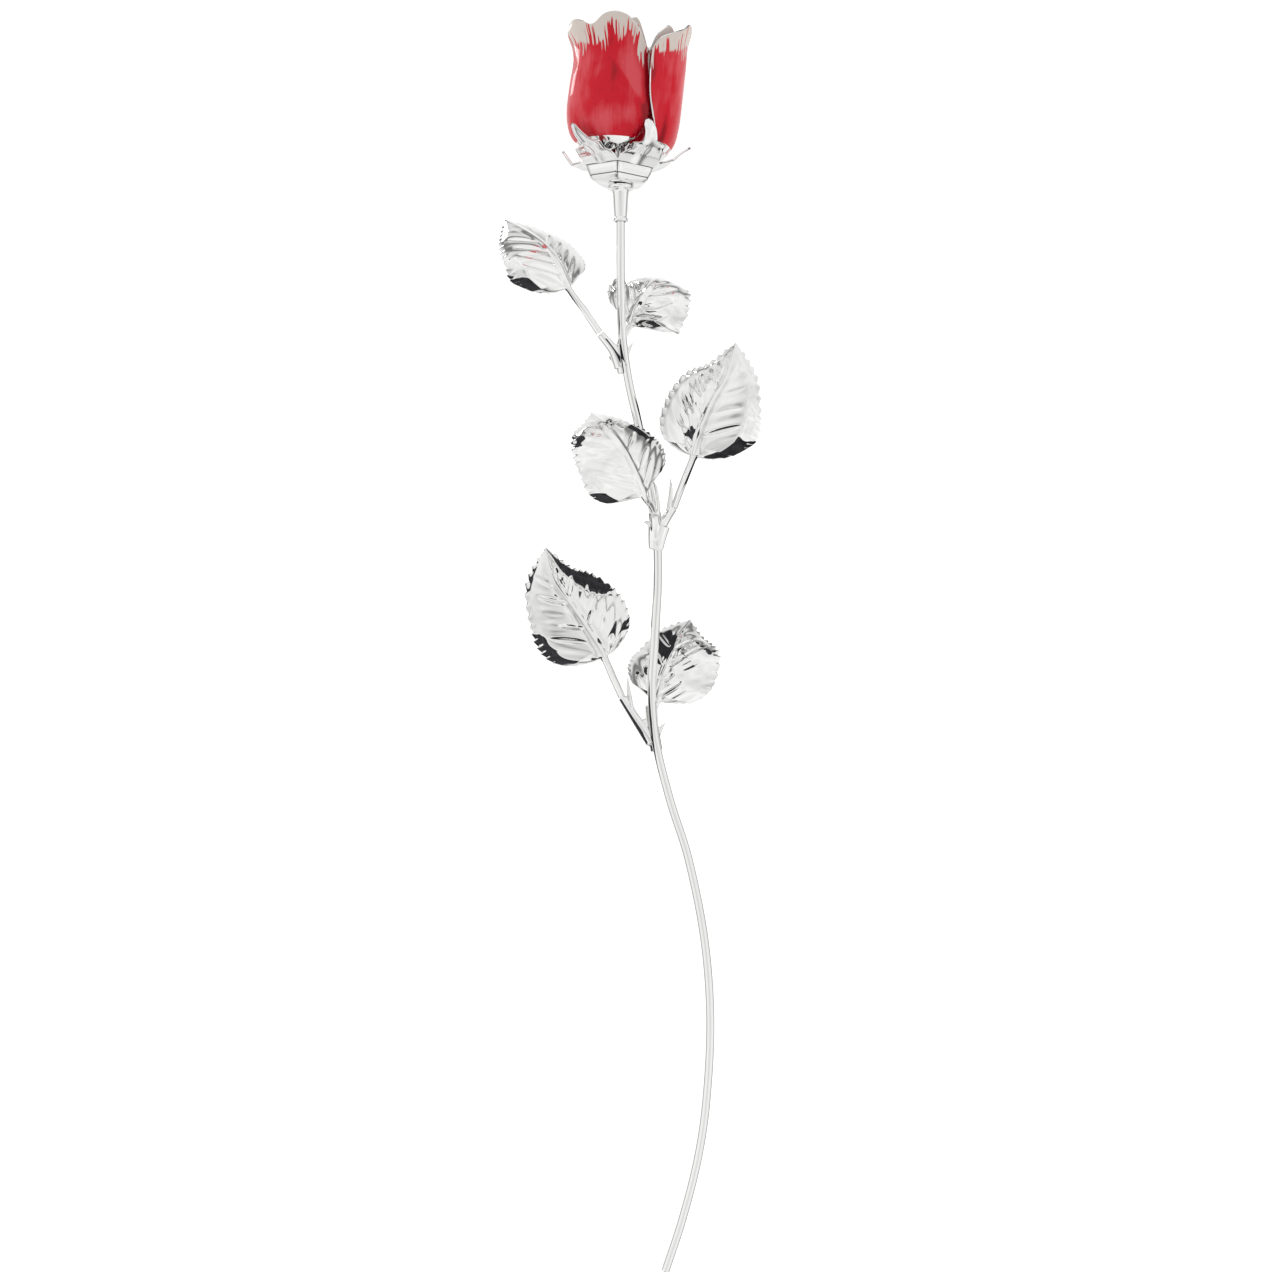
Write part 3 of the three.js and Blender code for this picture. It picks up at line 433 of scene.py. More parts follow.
class RoseColours(bpy.types.PropertyGroup):
    """Colours of the plate, the enamels and the table as sRGB values"""

    silver: bpy.props.StringProperty(
        name="Silver", description="Colour of the plated metal", default="F6F6F5")
    # Colour painted into the calyx's dark reflection lines
    tarnish: bpy.props.StringProperty(
        name="Tarnish", description="Colour of tarnished plate", default="6A6764")
    red: bpy.props.StringProperty(
        name="Red", description="Body colour of the red enamel", default="CB1025")
    # Deep red also paints shade: the spots of painted shade by the gaps between petals
    deep_red: bpy.props.StringProperty(
        name="Deep red", description="Red where the enamel is thick", default="950819")
    # Rose red also paints sheen: beside the front petal's crease and at the spots of painted sheen
    rose_red: bpy.props.StringProperty(
        name="Rose red", description="Red where the enamel is thin", default="D84E57")
    pearl: bpy.props.StringProperty(
        name="Pearl", description="Colour of the petal tips", default="D3C8C0")
    lilac: bpy.props.StringProperty(
        name="Lilac", description="Colour inside the petals", default="BDB2BC")
    paper: bpy.props.StringProperty(
        name="Paper", description="Colour of the table", default="FDFDFB")


def linear_colour(code):
    """Linear RGBA of an sRGB hex colour"""
    channels = [int(code[i:i + 2], 16) / 255 for i in (0, 2, 4)]
    return [c / 12.92 if c <= 0.04045 else ((c + 0.055) / 1.055) ** 2.4 for c in channels] + [1]


def add_node(tree, kind, settings=None, inputs=None, stops=None):
    """A shader node with its settings, its inputs set or linked where the value is a socket, and the stops of
    its colour ramp as positions and linear colours"""
    node = tree.nodes.new(kind)
    for name, value in (settings or {}).items():
        setattr(node, name, value)
    for key, value in (inputs or {}).items():
        if isinstance(value, bpy.types.NodeSocket):
            tree.links.new(value, node.inputs[key])
        else:
            node.inputs[key].default_value = value
    if stops:
        elements = node.color_ramp.elements
        while len(elements) < len(stops):
            elements.new(1)
        for element, (position, colour) in zip(elements, stops):
            element.position = position
            element.color = colour
    return node


def new_material(name):
    """An empty node material and its node tree"""
    material = bpy.data.materials.new(name)
    material.use_nodes = True
    material.node_tree.nodes.clear()
    return material, material.node_tree


def finish_material(tree, shader):
    """Join a shader to the material's output"""
    add_node(tree, "ShaderNodeOutputMaterial", inputs={"Surface": shader.outputs[0]})


def buffed_shader(tree, colour):
    """Mirror bright plate that a hand-buffing wheel has left slightly wavy, with a fine haze"""
    place = add_node(tree, "ShaderNodeTexCoord").outputs["Object"]
    # Buffing waves about 7 mm apart
    wave = add_node(tree, "ShaderNodeTexNoise", inputs={
        "Vector": place, "Scale": 1 / (7 * MM), "Detail": 1.5})
    # Buffing haze about 1.2 mm across, coarser than the real one so that it shows
    haze = add_node(tree, "ShaderNodeTexNoise", inputs={
        "Vector": place, "Scale": 1 / (1.2 * MM), "Detail": 4})
    rough = add_node(tree, "ShaderNodeMapRange", inputs={
        "Value": haze.outputs["Fac"], "From Min": 0.3, "From Max": 0.75, "To Min": 0.035, "To Max": 0.11})
    bump = add_node(tree, "ShaderNodeBump", inputs={
        "Height": wave.outputs["Fac"], "Strength": 0.35, "Distance": 0.12 * MM})
    return add_node(tree, "ShaderNodeBsdfPrincipled", inputs={
        "Base Color": colour, "Metallic": 1, "Roughness": rough.outputs["Result"],
        "Normal": bump.outputs["Normal"]})


def silver_plate():
    """Bright silver plate, buffed: an almost white mirror whose haze breaks up what it reflects"""
    material, tree = new_material("silver_plate_buffed")
    finish_material(tree, buffed_shader(tree, linear_colour(bpy.context.scene.rose_colours.silver)))
    return material


def plate_with_painted_dark_lines():
    """Silver plate, buffed after it was folded: the same mirror, with thin dark lines painted in as dark
    reflections in the scored lines, along the corners of the cup and along the cut edges"""
    colours = bpy.context.scene.rose_colours
    material, tree = new_material("silver_plate_tarnished")
    # Painted dark reflections: thin dark lines laid out in a map of their own
    mark = add_node(tree, "ShaderNodeUVMap", settings={"uv_map": "tarnish"})
    amount = add_node(tree, "ShaderNodeSeparateXYZ", inputs={"Vector": mark.outputs["UV"]})
    plate = add_node(tree, "ShaderNodeValToRGB", inputs={"Fac": amount.outputs["X"]}, stops=[
        (0.25, linear_colour(colours.silver)), (0.75, linear_colour(colours.tarnish))])
    finish_material(tree, buffed_shader(tree, plate.outputs["Color"]))
    return material


def streaks(tree, place, across_mm, along_mm, detail):
    """Noise drawn out along the petal, with its width and length in millimetres"""
    # The strokes sway about 0.8 mm, once in 9 mm
    sway = add_node(tree, "ShaderNodeTexNoise", inputs={"Vector": place, "Scale": 1 / (9 * MM), "Detail": 0})
    shift = add_node(tree, "ShaderNodeMath", settings={"operation": "MULTIPLY"}, inputs={
        0: sway.outputs["Fac"], 1: 1.6 * MM})
    moved = add_node(tree, "ShaderNodeCombineXYZ", inputs={"X": shift.outputs[0]})
    swayed = add_node(tree, "ShaderNodeVectorMath", settings={"operation": "ADD"}, inputs={
        0: place, 1: moved.outputs[0]})
    scaled = add_node(tree, "ShaderNodeMapping", inputs={
        "Vector": swayed.outputs[0], "Location": (across_mm, along_mm, 0),
        "Scale": (1 / (across_mm * MM), 1 / (along_mm * MM), 1)})
    noise = add_node(tree, "ShaderNodeTexNoise", inputs={
        "Vector": scaled.outputs["Vector"], "Scale": 1, "Detail": detail})
    return noise.outputs["Fac"]


def red_enamel():
    """Red vitreous enamel, fired over bright sheet: a deep glassy red with painted sheen where it turns rosy
    and painted shade where it turns deep red, with faint brushed streaks, and pearl white flowed down from
    the tip in feathers"""
    colours = bpy.context.scene.rose_colours
    sizes = bpy.context.scene.rose_sizes
    material, tree = new_material("red_enamel_fired")
    # The petal's own map, in metres: how far across the petal, and how far down from its crest
    place = add_node(tree, "ShaderNodeUVMap", settings={"uv_map": "petal"}).outputs["UV"]
    split = add_node(tree, "ShaderNodeSeparateXYZ", inputs={"Vector": place})
    cloud = streaks(tree, place, 7, 16, 3)
    brush = streaks(tree, place, 0.8, 14, 4)
    tone = add_node(tree, "ShaderNodeMath", settings={"operation": "MULTIPLY_ADD"}, inputs={
        0: brush, 1: 0.25, 2: cloud})
    # Painted sheen and shade: the listed spots and the pressed side of the crease are painted rosy as sheen,
    # and the spots by the low edges deep red as shade
    press = add_node(tree, "ShaderNodeUVMap", settings={"uv_map": "press"})
    pressed = add_node(tree, "ShaderNodeSeparateXYZ", inputs={"Vector": press.outputs["UV"]})
    thin = add_node(tree, "ShaderNodeMath", settings={"operation": "MULTIPLY_ADD"}, inputs={
        0: pressed.outputs["X"], 1: 0.3, 2: tone.outputs[0]})
    body = add_node(tree, "ShaderNodeValToRGB", inputs={"Fac": thin.outputs[0]}, stops=[
        (0.36, linear_colour(colours.deep_red)), (0.55, linear_colour(colours.red)),
        (0.64, linear_colour(colours.red)), (0.9, linear_colour(colours.rose_red))])
    # Fingers of red about 1 mm wide run up into the pearl, and thin threads of pearl run down into the red
    up = add_node(tree, "ShaderNodeMapRange", settings={"interpolation_type": "SMOOTHSTEP"}, inputs={
        "Value": streaks(tree, place, 1.5, 26, 1), "From Min": 0.47, "From Max": 0.57})
    reach_up = add_node(tree, "ShaderNodeMapRange", inputs={
        "Value": streaks(tree, place, 3, 60, 1), "From Min": 0.34, "From Max": 0.6,
        "To Min": 0.5 * MM, "To Max": 8 * MM})
    down = add_node(tree, "ShaderNodeMapRange", settings={"interpolation_type": "SMOOTHSTEP"}, inputs={
        "Value": streaks(tree, place, 0.9, 26, 1), "From Min": 0.52, "From Max": 0.64, "To Max": 4.5 * MM})
    fingers = add_node(tree, "ShaderNodeMath", settings={"operation": "MULTIPLY"}, inputs={
        0: up.outputs["Result"], 1: reach_up.outputs["Result"]})
    lift = add_node(tree, "ShaderNodeMath", settings={"operation": "SUBTRACT"}, inputs={
        0: fingers.outputs[0], 1: down.outputs["Result"]})
    edge = add_node(tree, "ShaderNodeMath", settings={"operation": "ADD"}, inputs={
        0: split.outputs["Y"], 1: lift.outputs[0]})
    pearl = add_node(tree, "ShaderNodeMapRange", settings={"interpolation_type": "SMOOTHSTEP"}, inputs={
        "Value": edge.outputs[0], "From Min": sizes.pearl_reach - 0.6 * MM,
        "From Max": sizes.pearl_reach + 0.6 * MM, "To Min": 1, "To Max": 0})
    mix = add_node(tree, "ShaderNodeMix", settings={"data_type": "RGBA"}, inputs={
        0: pearl.outputs["Result"], 6: body.outputs["Color"], 7: linear_colour(colours.pearl)})
    bump = add_node(tree, "ShaderNodeBump", inputs={"Height": brush, "Strength": 0.12, "Distance": 0.05 * MM})
    shader = add_node(tree, "ShaderNodeBsdfPrincipled", inputs={
        "Base Color": mix.outputs[2], "Roughness": 0.3, "Specular IOR Level": 0.05, "Coat Weight": 0.35,
        "Coat Roughness": 0.04, "Normal": bump.outputs["Normal"]})
    finish_material(tree, shader)
    return material


def pearl_enamel():
    """Pearl enamel inside the petals, fired thin: a pale lilac grey with a rosy bloom and faint streaks"""
    colours = bpy.context.scene.rose_colours
    material, tree = new_material("pearl_enamel_fired")
    place = add_node(tree, "ShaderNodeUVMap", settings={"uv_map": "petal"}).outputs["UV"]
    bloom = streaks(tree, place, 1.6, 18, 3)
    body = add_node(tree, "ShaderNodeValToRGB", inputs={"Fac": bloom}, stops=[
        (0.32, linear_colour(colours.rose_red)), (0.42, linear_colour(colours.lilac)),
        (0.8, linear_colour(colours.pearl))])
    shader = add_node(tree, "ShaderNodeBsdfPrincipled", inputs={
        "Base Color": body.outputs["Color"], "Roughness": 0.25, "Coat Weight": 0.8, "Coat Roughness": 0.05})
    finish_material(tree, shader)
    return material


def matte_paper():
    """Matte white backing paper, lit from below as well as from above, so that shadows on it are faint"""
    colours = bpy.context.scene.rose_colours
    material, tree = new_material("paper_matte_lit")
    place = add_node(tree, "ShaderNodeTexCoord").outputs["Object"]
    # Paper grain about 2 mm across
    grain = add_node(tree, "ShaderNodeTexNoise", inputs={"Vector": place, "Scale": 1 / (2 * MM), "Detail": 2})
    bump = add_node(tree, "ShaderNodeBump", inputs={
        "Height": grain.outputs["Fac"], "Strength": 0.05, "Distance": 0.02 * MM})
    shader = add_node(tree, "ShaderNodeBsdfPrincipled", inputs={
        "Base Color": linear_colour(colours.paper), "Roughness": 0.9, "Specular IOR Level": 0.1,
        "Emission Color": linear_colour(colours.paper), "Emission Strength": 0.55,
        "Normal": bump.outputs["Normal"]})
    finish_material(tree, shader)
    return material


def lit_card():
    """White card lit from behind, a little uneven"""
    material, tree = new_material("card_lit")
    place = add_node(tree, "ShaderNodeTexCoord").outputs["Object"]
    uneven = add_node(tree, "ShaderNodeTexNoise", inputs={
        "Vector": place, "Scale": 1 / (40 * MM), "Detail": 1})
    glow = add_node(tree, "ShaderNodeMapRange", inputs={
        "Value": uneven.outputs["Fac"], "From Min": 0.3, "From Max": 0.7,
        "To Min": CARD_DIMMEST * CARD_GLOW, "To Max": CARD_GLOW})
    shader = add_node(tree, "ShaderNodeEmission", inputs={"Strength": glow.outputs["Result"]})
    finish_material(tree, shader)
    return material


def black_velvet():
    """Black velvet on the flags: almost no light comes back, with a slight nap"""
    material, tree = new_material("velvet_black")
    place = add_node(tree, "ShaderNodeTexCoord").outputs["Object"]
    nap = add_node(tree, "ShaderNodeTexNoise", inputs={"Vector": place, "Scale": 1 / (6 * MM), "Detail": 2})
    shade = add_node(tree, "ShaderNodeValToRGB", inputs={"Fac": nap.outputs["Fac"]}, stops=[
        (0.3, (0.02, 0.02, 0.022, 1)), (0.7, (0.05, 0.05, 0.055, 1))])
    shader = add_node(tree, "ShaderNodeBsdfPrincipled", inputs={
        "Base Color": shade.outputs["Color"], "Roughness": 1, "Specular IOR Level": 0})
    finish_material(tree, shader)
    return material


def shared_material(make):
    """The material that a maker function has already made, or a new one"""
    key = "rose_" + make.__name__
    found = [m for m in bpy.data.materials if m.get("made_by") == key]
    if found:
        return found[0]
    material = make()
    material["made_by"] = key
    return material


def smooth_value(knots, position):
    """Value of a smooth curve through knots of position and value"""
    last = len(knots) - 1
    at = 0
    while at < last - 1 and position > knots[at + 1][0]:
        at += 1

    def slope(k):
        before = knots[max(k - 1, 0)]
        after = knots[min(k + 1, last)]
        return (after[1] - before[1]) / (after[0] - before[0])

    x0, y0 = knots[at]
    x1, y1 = knots[at + 1]
    span = x1 - x0
    t = min(max((position - x0) / span, 0), 1)
    rise = t * t * (3 - 2 * t)
    return y0 + (y1 - y0) * rise + span * (slope(at) * t * (1 - t) ** 2 - slope(at + 1) * t * t * (1 - t))


def smooth_step(low, high, value):
    """Soft step from 0 at `low` to 1 at `high`, which may be the lesser of the two"""
    t = min(max((value - low) / (high - low), 0), 1)
    return t * t * (3 - 2 * t)


class Route:
    """Smooth space curve through knots, by share of the knots or by share of the length"""

    def __init__(self, knots, samples=400):
        self.knots = [Vector(k) for k in knots]
        self.samples = samples
        self.reach = [0]
        before = self.point(0)
        for i in range(1, samples + 1):
            here = self.point(i / samples)
            self.reach.append(self.reach[-1] + (here - before).length)
            before = here

    def point(self, share):
        """Place on the curve at a share of the knots"""
        spans = len(self.knots) - 1
        at = min(int(share * spans), spans - 1)
        t = share * spans - at
        b, c = self.knots[at], self.knots[at + 1]
        a = self.knots[at - 1] if at > 0 else 2 * b - c
        d = self.knots[at + 2] if at + 2 <= spans else 2 * c - b
        m0, m1 = (c - a) / 2, (d - b) / 2
        return (b + m0 * t + (3 * (c - b) - 2 * m0 - m1) * t * t + (2 * (b - c) + m0 + m1) * t * t * t)

    def tangent(self, share):
        """Way of the curve at a share of the knots"""
        step = 0.0001
        return (self.point(min(share + step, 1)) - self.point(max(share - step, 0))).normalized()

    def share_at(self, part):
        """Share of the knots at a share of the length"""
        wanted = self.reach[-1] * part
        low, high = 0, self.samples
        while high - low > 1:
            middle = (low + high) // 2
            low, high = (middle, high) if self.reach[middle] < wanted else (low, middle)
        gap = self.reach[high] - self.reach[low]
        return (low + (wanted - self.reach[low]) / gap) / self.samples


def add_object(name, data):
    """A new object in the scene"""
    added = bpy.data.objects.new(name, data)
    bpy.context.scene.collection.objects.link(added)
    return added


def smooth_faces(mesh, angle):
    """Make all faces smooth, with sharp edges where they meet more steeply than the angle"""
    mesh.polygons.foreach_set("use_smooth", [True] * len(mesh.polygons))
    mesh.set_sharp_from_angle(angle=math.radians(angle))


def add_piece(name, points, faces, materials, slots=None, maps=None, angle=CAST_ANGLE):
    """A smooth mesh piece from points in millimetres"""
    mesh = bpy.data.meshes.new(name)
    low = [Vector((p.x, p.y, max(p.z, 0))) for p in points]
    mesh.from_pydata([(p - BOX_MIDDLE) * MM for p in low], [], faces)
    for material in materials:
        mesh.materials.append(material)
    if slots:
        mesh.polygons.foreach_set("material_index", slots)
    for map_name, values in (maps or {}).items():
        layer = mesh.uv_layers.new(name=map_name)
        for loop in mesh.loops:
            layer.data[loop.index].uv = values[loop.vertex_index]
    smooth_faces(mesh, angle)
    mesh.validate()
    return add_object(name, mesh)


def seat_piece(piece, slot, *nodes):
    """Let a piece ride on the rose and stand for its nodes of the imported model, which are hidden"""
    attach(piece, "root")
    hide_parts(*nodes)


def sheet_faces(face, back, rim=0.0, closed=False):
    """Points and faces of a closed sheet between two grids, with a rounded edge that stands `rim` proud.
    Slots are 0 on the face, 1 on the back and 2 on the edge."""
    rows, columns = len(face), len(face[0])
    spans = columns if closed else columns - 1
    points = [p for grid in (face, back) for row in grid for p in row]
    under = rows * columns
    faces, slots = [], []

    def at(i, j):
        return i * columns + j % columns

    for i in range(rows - 1):
        for j in range(spans):
            faces.append((at(i, j), at(i, j + 1), at(i + 1, j + 1), at(i + 1, j)))
            corners = (at(i, j), at(i + 1, j), at(i + 1, j + 1), at(i, j + 1))
            faces.append(tuple(under + corner for corner in corners))
            slots += [0, 1]

    def edge(loop, inward):
        first = len(points)
        for k, inner in zip(loop, inward):
            outward = (points[k] - points[inner]).normalized()
            points.append((points[k] + points[under + k]) / 2 + outward * rim)
        count = len(loop)
        for k in range(count):
            n = (k + 1) % count
            faces.append((loop[n], loop[k], first + k, first + n))
            faces.append((first + n, first + k, under + loop[k], under + loop[n]))
            slots.extend([2, 2])

    if closed:
        top = rows - 1
        edge([at(0, j) for j in range(columns)], [at(1, j) for j in range(columns)])
        edge([at(top, -j) for j in range(columns)], [at(top - 1, -j) for j in range(columns)])
        return points, faces, slots
    around = [(0, j) for j in range(columns)] + [(i, columns - 1) for i in range(1, rows)]
    around += [(rows - 1, j) for j in range(columns - 2, -1, -1)] + [(i, 0) for i in range(rows - 2, 0, -1)]
    inward = [at(min(max(i, 1), rows - 2), min(max(j, 1), columns - 2)) for i, j in around]
    edge([at(i, j) for i, j in around], inward)
    return points, faces, slots


def append_part(points, faces, part_points, part_faces):
    """Add the points and faces of one part to those of the whole piece"""
    faces.extend(tuple(k + len(points) for k in face) for face in part_faces)
    points.extend(part_points)


def tube_faces(centres, radii, sides):
    """Points and faces of a closed tube through centres, each ring square to the way"""
    points, faces = [], []
    count = len(centres)
    normal = Vector((0, 0, 1))
    for i, (centre, radius) in enumerate(zip(centres, radii)):
        way = (centres[min(i + 1, count - 1)] - centres[max(i - 1, 0)]).normalized()
        normal = (normal - way * normal.dot(way)).normalized()
        side = way.cross(normal)
        for j in range(sides):
            angle = 2 * math.pi * j / sides
            points.append(centre + normal * radius * math.cos(angle) + side * radius * math.sin(angle))
    for i in range(count - 1):
        for j in range(sides):
            n = (j + 1) % sides
            faces.append((i * sides + j, i * sides + n, (i + 1) * sides + n, (i + 1) * sides + j))
    faces.append(tuple(range(sides - 1, -1, -1)))
    faces.append(tuple((count - 1) * sides + j for j in range(sides)))
    return points, faces


def head_place():
    """Matrix to the rose's coordinates from the head's own, whose axis is Y and whose upper side is Z"""
    sink = Matrix.Rotation(-math.radians(HEAD_SINK), 4, "X")
    lean = Matrix.Rotation(-math.radians(HEAD_LEAN), 4, "Z")
    return Matrix.Translation(HEAD_ORIGIN) @ (sink @ lean)


def head_point(azimuth, radius, height):
    """Point in the head's own coordinates, by its azimuth from the upper side"""
    angle = math.radians(azimuth)
    return Vector((radius * math.sin(angle), height, radius * math.cos(angle)))


def rounded_profile(profile, steps=5):
    """A turned profile with its corners rounded"""
    points = []
    for i, (radius, height, fillet) in enumerate(profile):
        here = Vector((radius, height))
        if fillet == 0:
            points.append(here)
            continue
        before, after = Vector(profile[i - 1][:2]), Vector(profile[i + 1][:2])
        a = here + (before - here).normalized() * min(fillet, (before - here).length * 0.45)
        b = here + (after - here).normalized() * min(fillet, (after - here).length * 0.45)
        for k in range(steps + 1):
            t = k / steps
            points.append(a * (1 - t) ** 2 + here * 2 * t * (1 - t) + b * t * t)
    return points


def turned_faces(profile, place, sides=96):
    """Points and faces of a piece turned about its own Y axis, or of a ring if its profile stays off it"""
    outline = rounded_profile(profile)
    solid = outline[0].x == 0
    points, faces = [], []
    rings = []
    for radius, height in outline:
        if radius == 0:
            rings.append([len(points)])
            points.append(place @ Vector((0, height, 0)))
            continue
        rings.append([len(points) + j for j in range(sides)])
        points += [place @ head_point(360 * j / sides, radius, height) for j in range(sides)]
    pairs = list(zip(rings, rings[1:] if solid else rings[1:] + rings[:1]))
    for low, high in pairs:
        for j in range(sides):
            n = (j + 1) % sides
            if len(low) == 1:
                faces.append((low[0], high[n], high[j]))
            elif len(high) == 1:
                faces.append((low[j], low[n], high[0]))
            else:
                faces.append((low[j], low[n], high[n], high[j]))
    return points, [tuple(reversed(f)) for f in faces] if not solid else faces


def add_silver(name, node, points, faces, angle):
    """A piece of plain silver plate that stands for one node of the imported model"""
    piece = add_piece(name, points, faces, [shared_material(silver_plate)], angle=angle)
    seat_piece(piece, "silver_plate", node)


def make_stem(rings=420):
    """The stem's round rod, with rings at equal steps of its length"""
    route = Route(STEM_ROUTE, 1200)
    centres = [route.point(route.share_at(i / rings)) for i in range(rings + 1)]
    radii = [STEM_RADIUS] * len(centres)
    # The cut end is eased by a file
    ease = 0.25
    centres.insert(1, centres[0] + (centres[1] - centres[0]).normalized() * ease)
    radii.insert(1, STEM_RADIUS)
    radii[0] = STEM_RADIUS - ease
    add_silver("stem_rod", "stem", *tube_faces(centres, radii, 32), ROD_ANGLE)


def make_ferrule():
    """The turned cone between stem and calyx"""
    place = Matrix.Translation(FERRULE_FOOT) @ Matrix.Rotation(-math.radians(HEAD_SINK), 4, "X")
    add_silver("ferrule_turned", "ferrule", *turned_faces(FERRULE_PROFILE, place), PRESSED_ANGLE)


def make_receptacle():
    """The turned boss that carries the petals"""
    turned = turned_faces(RECEPTACLE_PROFILE, head_place())
    add_silver("receptacle_boss", "receptacle", *turned, PRESSED_ANGLE)


def pentagon(azimuth):
    """Radius of a regular pentagon with a corner on the upper side, over its corner radius"""
    side = 360 / SIDES
    from_middle = math.radians(azimuth % side - side / 2)
    half = math.radians(side / 2)
    to_corner = half - abs(from_middle)
    wide = math.exp(-(to_corner / CORNER_WIDE) ** 2)
    near_corner = 1 - CORNER_LOSS * (wide + 2 * math.exp(-(to_corner / CORNER_TIGHT) ** 2))
    return math.cos(math.pi / SIDES) / math.cos(from_middle) * near_corner


def cup_grids(rows_per_span=16, columns=200):
    """Grids of the cup's outer and inner face, and how much painted dark reflection each point of the outer
    one has
    """
    outside, inside, tarnish = [], [], []
    stations = []
    for a, b in zip(CUP_ROWS, CUP_ROWS[1:]):
        for k in range(rows_per_span):
            stations.append(tuple(x + (y - x) * k / rows_per_span for x, y in zip(a, b)))
    stations.append(CUP_ROWS[-1])
    # Each bend of the cup is pressed round, over a row or two on each side of it
    stations = [stations[0]] + [
        tuple((p + 2 * q + r) / 4 for p, q, r in zip(stations[i - 1], stations[i], stations[i + 1]))
        for i in range(1, len(stations) - 1)] + [stations[-1]]
    for i, (corner, height, share) in enumerate(stations):
        r0, h0, _ = stations[max(i - 1, 0)]
        r1, h1, _ = stations[min(i + 1, len(stations) - 1)]
        lean = math.atan2(h1 - h0, r1 - r0)
        corner -= SCORE_DEPTH * sum(
            math.exp(-((height - line) / SCORE_HALF_WIDTH) ** 2) for line in SCORE_LINES)
        outer, inner = [], []
        for j in range(columns):
            azimuth = 360 * j / columns
            shape = 1 + share * (pentagon(azimuth) - 1)
            outer.append(head_point(azimuth, corner * shape, height))
            inner.append(head_point(
                azimuth, (corner - SHEET * math.sin(lean)) * shape, height + SHEET * math.cos(lean)))
            # Painted dark reflection lines along the cup's corners and its scored lines
            from_corner = (azimuth + 180 / SIDES) % (360 / SIDES) - 180 / SIDES
            corner_line = share * math.exp(-(from_corner / PAINTED_DARK_HALF_TURN) ** 2)
            scored = max(math.exp(-((height - line) / PAINTED_DARK_HALF_WIDTH) ** 2) for line in SCORE_LINES)
            tarnish.append((max(corner_line, scored), 0))
        outside.append(outer)
        inside.append(inner)
    return outside, inside, tarnish


def sepal_width(share, side):
    """Half-width of a sepal on its notched side, 1, or its broad side, 2"""
    for a, b in zip(SEPAL_OUTLINE, SEPAL_OUTLINE[1:]):
        if share <= b[0]:
            t = (share - a[0]) / (b[0] - a[0])
            return a[side] + (b[side] - a[side]) * t
    return SEPAL_OUTLINE[-1][side]


def sepal_grids(broad, knots, rows=64, columns=36):
    """Grids of a sepal's outer and inner face, and how much painted dark reflection each point of the outer
    one has
    """
    route = Route([head_point(*k) for k in knots])
    outside, inside, tarnish = [], [], []
    for i in range(rows + 1):
        share = i / rows
        origin = route.point(share)
        along = route.tangent(share)
        away = Vector((origin.x, 0, origin.z)).normalized() - Vector((0, 1, 0))
        normal = (away - along * away.dot(along)).normalized()
        side = along.cross(normal)
        left, right = (2, 1) if broad < 0 else (1, 2)
        left, right = sepal_width(share, left), sepal_width(share, right)
        outer, inner = [], []
        for j in range(columns + 1):
            part = 2 * j / columns - 1
            across = part * (left if part < 0 else right)
            bead = BEAD_HEIGHT * math.exp(-((1 - abs(part)) / BEAD_HALF_WIDTH) ** 2)
            bead *= smooth_step(*BEAD_GROWS, share)
            rib = RIB_HEIGHT * math.exp(-(across / RIB_HALF_WIDTH) ** 2)
            point = origin + side * across + normal * (bead + rib)
            outer.append(point)
            inner.append(point - normal * SHEET)
            # Painted dark reflection line along the sepal's cut edges and tip
            on_edge = abs(part) == 1 or i == rows
            tarnish.append((smooth_step(*PAINTED_DARK_GROWS, share) if on_edge else 0, 0))
        outside.append(outer)
        inside.append(inner)
    return outside, inside, tarnish


def make_calyx():
    """The folded cup and its sepals"""
    place = head_place() @ Matrix.Rotation(math.radians(CALYX_TURN), 4, "Y")
    points, faces, tarnish = [], [], []
    grids = [(cup_grids(), True)] + [(sepal_grids(*sepal), False) for sepal in SEPALS.values()]
    for (outside, inside, marks), closed in grids:
        part_points, part_faces, _ = sheet_faces(outside, inside, CALYX_RIM, closed)
        append_part(points, faces, [place @ p for p in part_points], part_faces)
        # The painted dark reflection lines of each part, and none on its edge and back
        tarnish += marks + [(0, 0)] * (len(part_points) - len(marks))
    piece = add_piece("calyx_folded", points, faces, [shared_material(plate_with_painted_dark_lines)],
                      maps={"tarnish": tarnish}, angle=FOLDED_ANGLE)
    seat_piece(piece, "silver_plate", "calyx")


def crease_press(name, azimuth, height):
    """Share of the full press beside the front petal's slanting crease"""
    if name != "outer_left":
        return 0
    start, end = Vector(CREASE[0]), Vector(CREASE[1])
    way = Vector(((end.x - start.x) * MM_PER_DEGREE, end.y - start.y))
    off = Vector(((azimuth - start.x) * MM_PER_DEGREE, height - start.y))
    length = way.length
    run = off.dot(way) / length
    side = (off.y * way.x - off.x * way.y) / length
    ends = smooth_step(*CREASE_START, run) * smooth_step(*CREASE_END, run - length)
    return smooth_step(*CREASE_GROWS, side) * smooth_step(*CREASE_FADES, side) * ends


def petal_wave(azimuth, height):
    """Slow waves left by the pressing tool, from -1 to 1"""
    return sum(share * math.sin(math.radians(azimuth * waves + height * climb))
               for share, waves, climb in PETAL_WAVES)


def sheen_shade_amount(sheen_shade_spots, azimuth, height):
    """Painted sheen here, as how far the enamel turns rosy, or painted shade where it comes out below 0"""
    amount = 0
    for middle, level, half_width, half_height, share in sheen_shade_spots:
        across = (azimuth - middle) * MM_PER_DEGREE / half_width
        amount += share * smooth_step(*SHEEN_SHADE_EDGE, math.hypot(across, (height - level) / half_height))
    return amount


